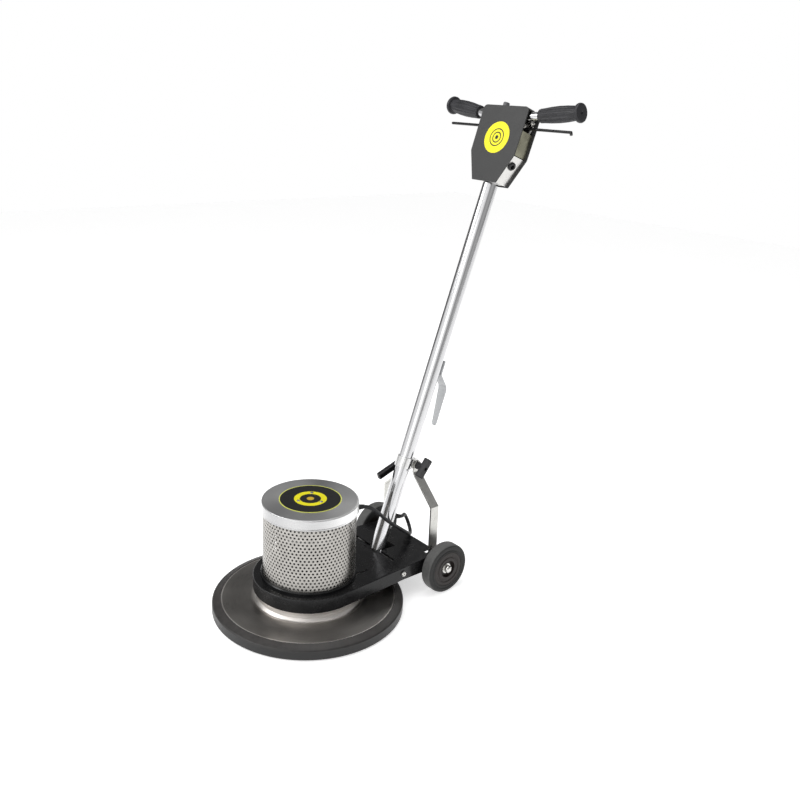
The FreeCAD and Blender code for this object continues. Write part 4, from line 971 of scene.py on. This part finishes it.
class BURNISHER_OT_motor_finish(bpy.types.Operator):
    """Motor, its cover's hardware and the printed label"""
    bl_idname = "burnisher.motor_finish"
    bl_label = "Motor finishes"

    def execute(self, context):
        colours = context.scene.burnisher_colours
        black = gloss_paint("base_black_paint", colours.paint, 0.20)
        coat(black, "cover_base_ring", "chassis_plate")
        coat(gloss_paint("motor_black_paint", (0.014, 0.014, 0.015), 0.35), "motor_shell")
        cast = cast_metal("cast_alloy", (0.62, 0.62, 0.61), 0.42)
        coat(cast, "motor_lower_bell", "motor_upper_bell", "rectifier")
        coat(cast_metal("ferrite", (0.06, 0.06, 0.065), 0.6), "motor_magnets")
        copper = sheet_steel("drawn_copper", (0.72, 0.36, 0.18), 0.3, (1, 1, 4))
        coat(copper, "armature_windings", "commutator")
        coat(moulded("brush_carbon", (0.03, 0.03, 0.032), 0.6), "motor_brushes")
        bright = sheet_steel("bright_fasteners", (0.72, 0.71, 0.69), 0.22, (1, 1, 3))
        coat(bright, "cap_bridge", "cap_screws", "motor_bolts", "pivot_bolts")
        low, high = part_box("cap_label")
        yellow = tuple(colours.yellow)
        pale = (0.78, 0.80, 0.16)
        gold = (0.62, 0.42, 0.03)
        ink = (0.012, 0.012, 0.012)
        label = printed_rings("label_film", (low + high) / 2, [
            (0.0, gold), (0.0085, ink), (0.0250, yellow), (0.0385, ink), (0.0716, pale),
            (0.0745, pale)], 0.34)
        coat(label, "cap_label")
        return {"FINISHED"}


class BURNISHER_OT_handle_finish(bpy.types.Operator):
    """Chromed tube, clamp, knob, brace and everything on the handle's head"""
    bl_idname = "burnisher.handle_finish"
    bl_label = "Handle finishes"

    def execute(self, context):
        colours = context.scene.burnisher_colours
        coat(polished_tube("tube_chrome"), "handle_tube", "handlebar")
        coat(sheet_steel("polished_alloy", (0.80, 0.80, 0.80), 0.16, (1, 1, 6)), "clamp_collar")
        zinc = sheet_steel("zinc_strap", (0.66, 0.655, 0.63), 0.30, (1, 1, 12),
                           (-LEAN, 0, 0), 0.10)
        coat(zinc, "brace_right", "brace_left")
        bright = sheet_steel("bright_hardware", (0.74, 0.73, 0.71), 0.22, (3, 1, 1))
        coat(bright, "clamp_washers", "clamp_bolt", "wheel_axle", "axle_spacers",
             "wheel_nuts", "head_yoke", "lever_pin", "handle_screws")
        coat(gloss_paint("pivot_black_paint", colours.paint, 0.4), "pivot_tube")
        knob = moulded("knob_plastic", (0.016, 0.016, 0.017), 0.33, 500.0, 0.06, 2.0)
        coat(knob, "t_knob", "cam_lever", "power_cord_gland")
        coat(gloss_paint("hook_grey_paint", (0.50, 0.51, 0.52), 0.30, 0.2), "cord_hook")
        head = gloss_paint("head_grey_paint", (0.034, 0.034, 0.034), 0.42, 0.3)
        coat(head, "head_front_cover", "head_rear_cover")
        coat(panel_alloy(), "head_side_panels")
        low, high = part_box("head_emblem")
        yellow = tuple(colours.yellow)
        ink = (0.012, 0.012, 0.012)
        emblem = printed_rings("emblem_film", (low + high) / 2, [
            (0.0, ink), (0.0050, yellow), (0.0110, ink), (0.0140, yellow), (0.0200, ink),
            (0.0228, yellow), (0.0410, yellow)], 0.34)
        coat(emblem, "head_emblem")
        coat(moulded("switch_plastic", (0.10, 0.10, 0.105), 0.4), "power_switch", "safety_button")
        coat(gloss_paint("lever_black_paint", colours.paint, 0.22, 0.3), "switch_lever")
        return {"FINISHED"}


class BURNISHER_OT_wheel_finish(bpy.types.Operator):
    """Rubber treads and moulded hubs"""
    bl_idname = "burnisher.wheel_finish"
    bl_label = "Wheel finishes"

    def execute(self, context):
        coat(tread_rubber("tread_rubber", (0.105, 0.105, 0.103)),
             "wheel_tyre_left", "wheel_tyre_right")
        coat(moulded("hub_plastic", (0.014, 0.011, 0.010), 0.36, 500.0, 0.08, 2.0),
             "wheel_hub_left", "wheel_hub_right")
        return {"FINISHED"}


class BURNISHER_OT_stage(bpy.types.Operator):
    """Pale floor, soft studio light and the camera"""
    bl_idname = "burnisher.stage"
    bl_label = "Stage"

    def execute(self, context):
        self.floor()
        self.world(context)
        self.lights(context)
        self.camera(context)
        return {"FINISHED"}

    def floor(self):
        clear()
        bpy.ops.mesh.primitive_plane_add(size=14.0)
        floor = start("studio_floor")
        bpy.ops.mesh.subdivide(number_cuts=2)
        settle(floor)
        made = Finish("floor_paper", roughness=0.75, colour=(0.88, 0.88, 0.88))
        made.set(Emission_Color=(1, 1, 1, 1), Emission_Strength=0.56)
        paper = made.noise(3.0, 3.0, 0.5)
        made.to_shader(made.bands(paper, [(0.3, (0.885, 0.885, 0.885)),
                                          (0.7, (0.90, 0.90, 0.90))]), "Base Color")
        paint(floor, made.material)

    def world(self, context):
        context.scene.view_settings.view_transform = "Standard"
        world = bpy.data.worlds.new("studio")
        context.scene.world = world
        world.use_nodes = True
        world.node_tree.nodes.clear()
        new, join = world.node_tree.nodes.new, world.node_tree.links.new
        out = new("ShaderNodeOutputWorld")
        swap = new("ShaderNodeMixShader")
        rays = new("ShaderNodeLightPath")
        seen = new("ShaderNodeBackground")
        seen.inputs["Color"].default_value = (1, 1, 1, 1)
        room = new("ShaderNodeBackground")
        place = new("ShaderNodeTexCoord")
        parts = new("ShaderNodeSeparateXYZ")
        turn = new("ShaderNodeMath")
        turn.operation = "ARCTAN2"
        scale = new("ShaderNodeMapRange")
        scale.inputs["From Min"].default_value = -math.pi
        scale.inputs["From Max"].default_value = math.pi
        ramp = new("ShaderNodeValToRGB")
        stops = [(0.00, 0.16), (0.06, 0.10), (0.13, 0.95), (0.30, 1.10), (0.385, 1.00),
                 (0.42, 0.34), (0.50, 0.50), (0.60, 0.28), (0.68, 0.38), (0.72, 0.06),
                 (0.79, 0.10), (0.85, 0.26), (0.93, 0.16), (1.00, 0.16)]
        while len(ramp.color_ramp.elements) < len(stops):
            ramp.color_ramp.elements.new(0.5)
        for element, (place_on, value) in zip(ramp.color_ramp.elements, stops):
            element.position = place_on
            element.color = (value, value, value, 1)
        join(place.outputs["Generated"], parts.inputs[0])
        join(parts.outputs["Y"], turn.inputs[0])
        join(parts.outputs["X"], turn.inputs[1])
        join(turn.outputs[0], scale.inputs["Value"])
        join(scale.outputs[0], ramp.inputs[0])
        join(ramp.outputs[0], room.inputs["Color"])
        join(rays.outputs["Is Camera Ray"], swap.inputs[0])
        join(room.outputs[0], swap.inputs[1])
        join(seen.outputs[0], swap.inputs[2])
        join(swap.outputs[0], out.inputs[0])

    def lights(self, context):
        aim = Vector((0, 0.2, 0.4))
        for name, place, wide, power in (
                ("key", (-1.4, -1.8, 2.6), 1.4, 34.0),
                ("fill", (0.9, -2.7, 1.5), 1.6, 9.0),
                ("top", (0.2, 0.3, 3.0), 1.8, 22.0),
                ("back", (-1.2, 2.6, 1.8), 1.2, 10.0)):
            data = bpy.data.lights.new(name, "AREA")
            data.energy = power
            data.size = wide
            light = bpy.data.objects.new(name, data)
            light.location = place
            light.rotation_euler = (aim - Vector(place)).to_track_quat("-Z", "Y").to_euler()
            context.scene.collection.objects.link(light)

    def camera(self, context):
        sizes = context.scene.burnisher_camera
        turn, drop, roll = sizes.turn, sizes.drop, sizes.roll
        look = Vector((-math.sin(turn) * math.cos(drop), math.cos(turn) * math.cos(drop),
                       -math.sin(drop)))
        right = look.cross(Vector((0, 0, 1))).normalized()
        up = right.cross(look)
        side = right * math.cos(roll) + up * math.sin(roll)
        top = up * math.cos(roll) - right * math.sin(roll)
        data = bpy.data.cameras.new("camera")
        data.lens = sizes.lens
        data.sensor_width = 36.0
        data.shift_y = sizes.shift
        data.clip_start = 0.05
        camera = bpy.data.objects.new("camera", data)
        axes = Matrix((side, top, -look)).transposed().to_4x4()
        camera.matrix_world = Matrix.Translation(sizes.place) @ axes
        context.scene.collection.objects.link(camera)
        context.scene.camera = camera


# ------------------------ the add-on
class BURNISHER_PT_panel(bpy.types.Panel):
    """Lists the operators that build the burnisher"""
    bl_idname = "BURNISHER_PT_panel"
    bl_label = "Floor burnisher"
    bl_space_type = "VIEW_3D"
    bl_region_type = "UI"
    bl_category = "Burnisher"

    def draw(self, context):
        for operator in OPERATORS:
            self.layout.operator(operator.bl_idname, text=operator.bl_label)
        for group, _ in GROUPS:
            box = self.layout.box()
            for key in getattr(context.scene, group).__annotations__:
                box.prop(getattr(context.scene, group), key)


OPERATORS = (
    BURNISHER_OT_stage, BURNISHER_OT_lead, BURNISHER_OT_sleeve, BURNISHER_OT_cap,
    BURNISHER_OT_grips, BURNISHER_OT_head_hardware, BURNISHER_OT_shade_sheet, BURNISHER_OT_pad,
    BURNISHER_OT_deck_finish, BURNISHER_OT_motor_finish,
    BURNISHER_OT_handle_finish, BURNISHER_OT_wheel_finish,
)
GROUPS = (
    ("burnisher_perforation", PerforationSizes), ("burnisher_cap", CapSizes),
    ("burnisher_grips", GripSizes), ("burnisher_lead", LeadSizes),
    ("burnisher_colours", FinishColours), ("burnisher_camera", CameraSizes),
)


def register():
    for name, group in GROUPS:
        bpy.utils.register_class(group)
        setattr(bpy.types.Scene, name, bpy.props.PointerProperty(type=group))
    for operator in OPERATORS:
        bpy.utils.register_class(operator)
    bpy.utils.register_class(BURNISHER_PT_panel)


def unregister():
    bpy.utils.unregister_class(BURNISHER_PT_panel)
    for operator in reversed(OPERATORS):
        bpy.utils.unregister_class(operator)
    for name, group in reversed(GROUPS):
        delattr(bpy.types.Scene, name)
        bpy.utils.unregister_class(group)


def main():
    register()
    for operator in OPERATORS:
        family, name = operator.bl_idname.split(".")
        getattr(getattr(bpy.ops, family), name)()


if __name__ == "__main__":
    main()
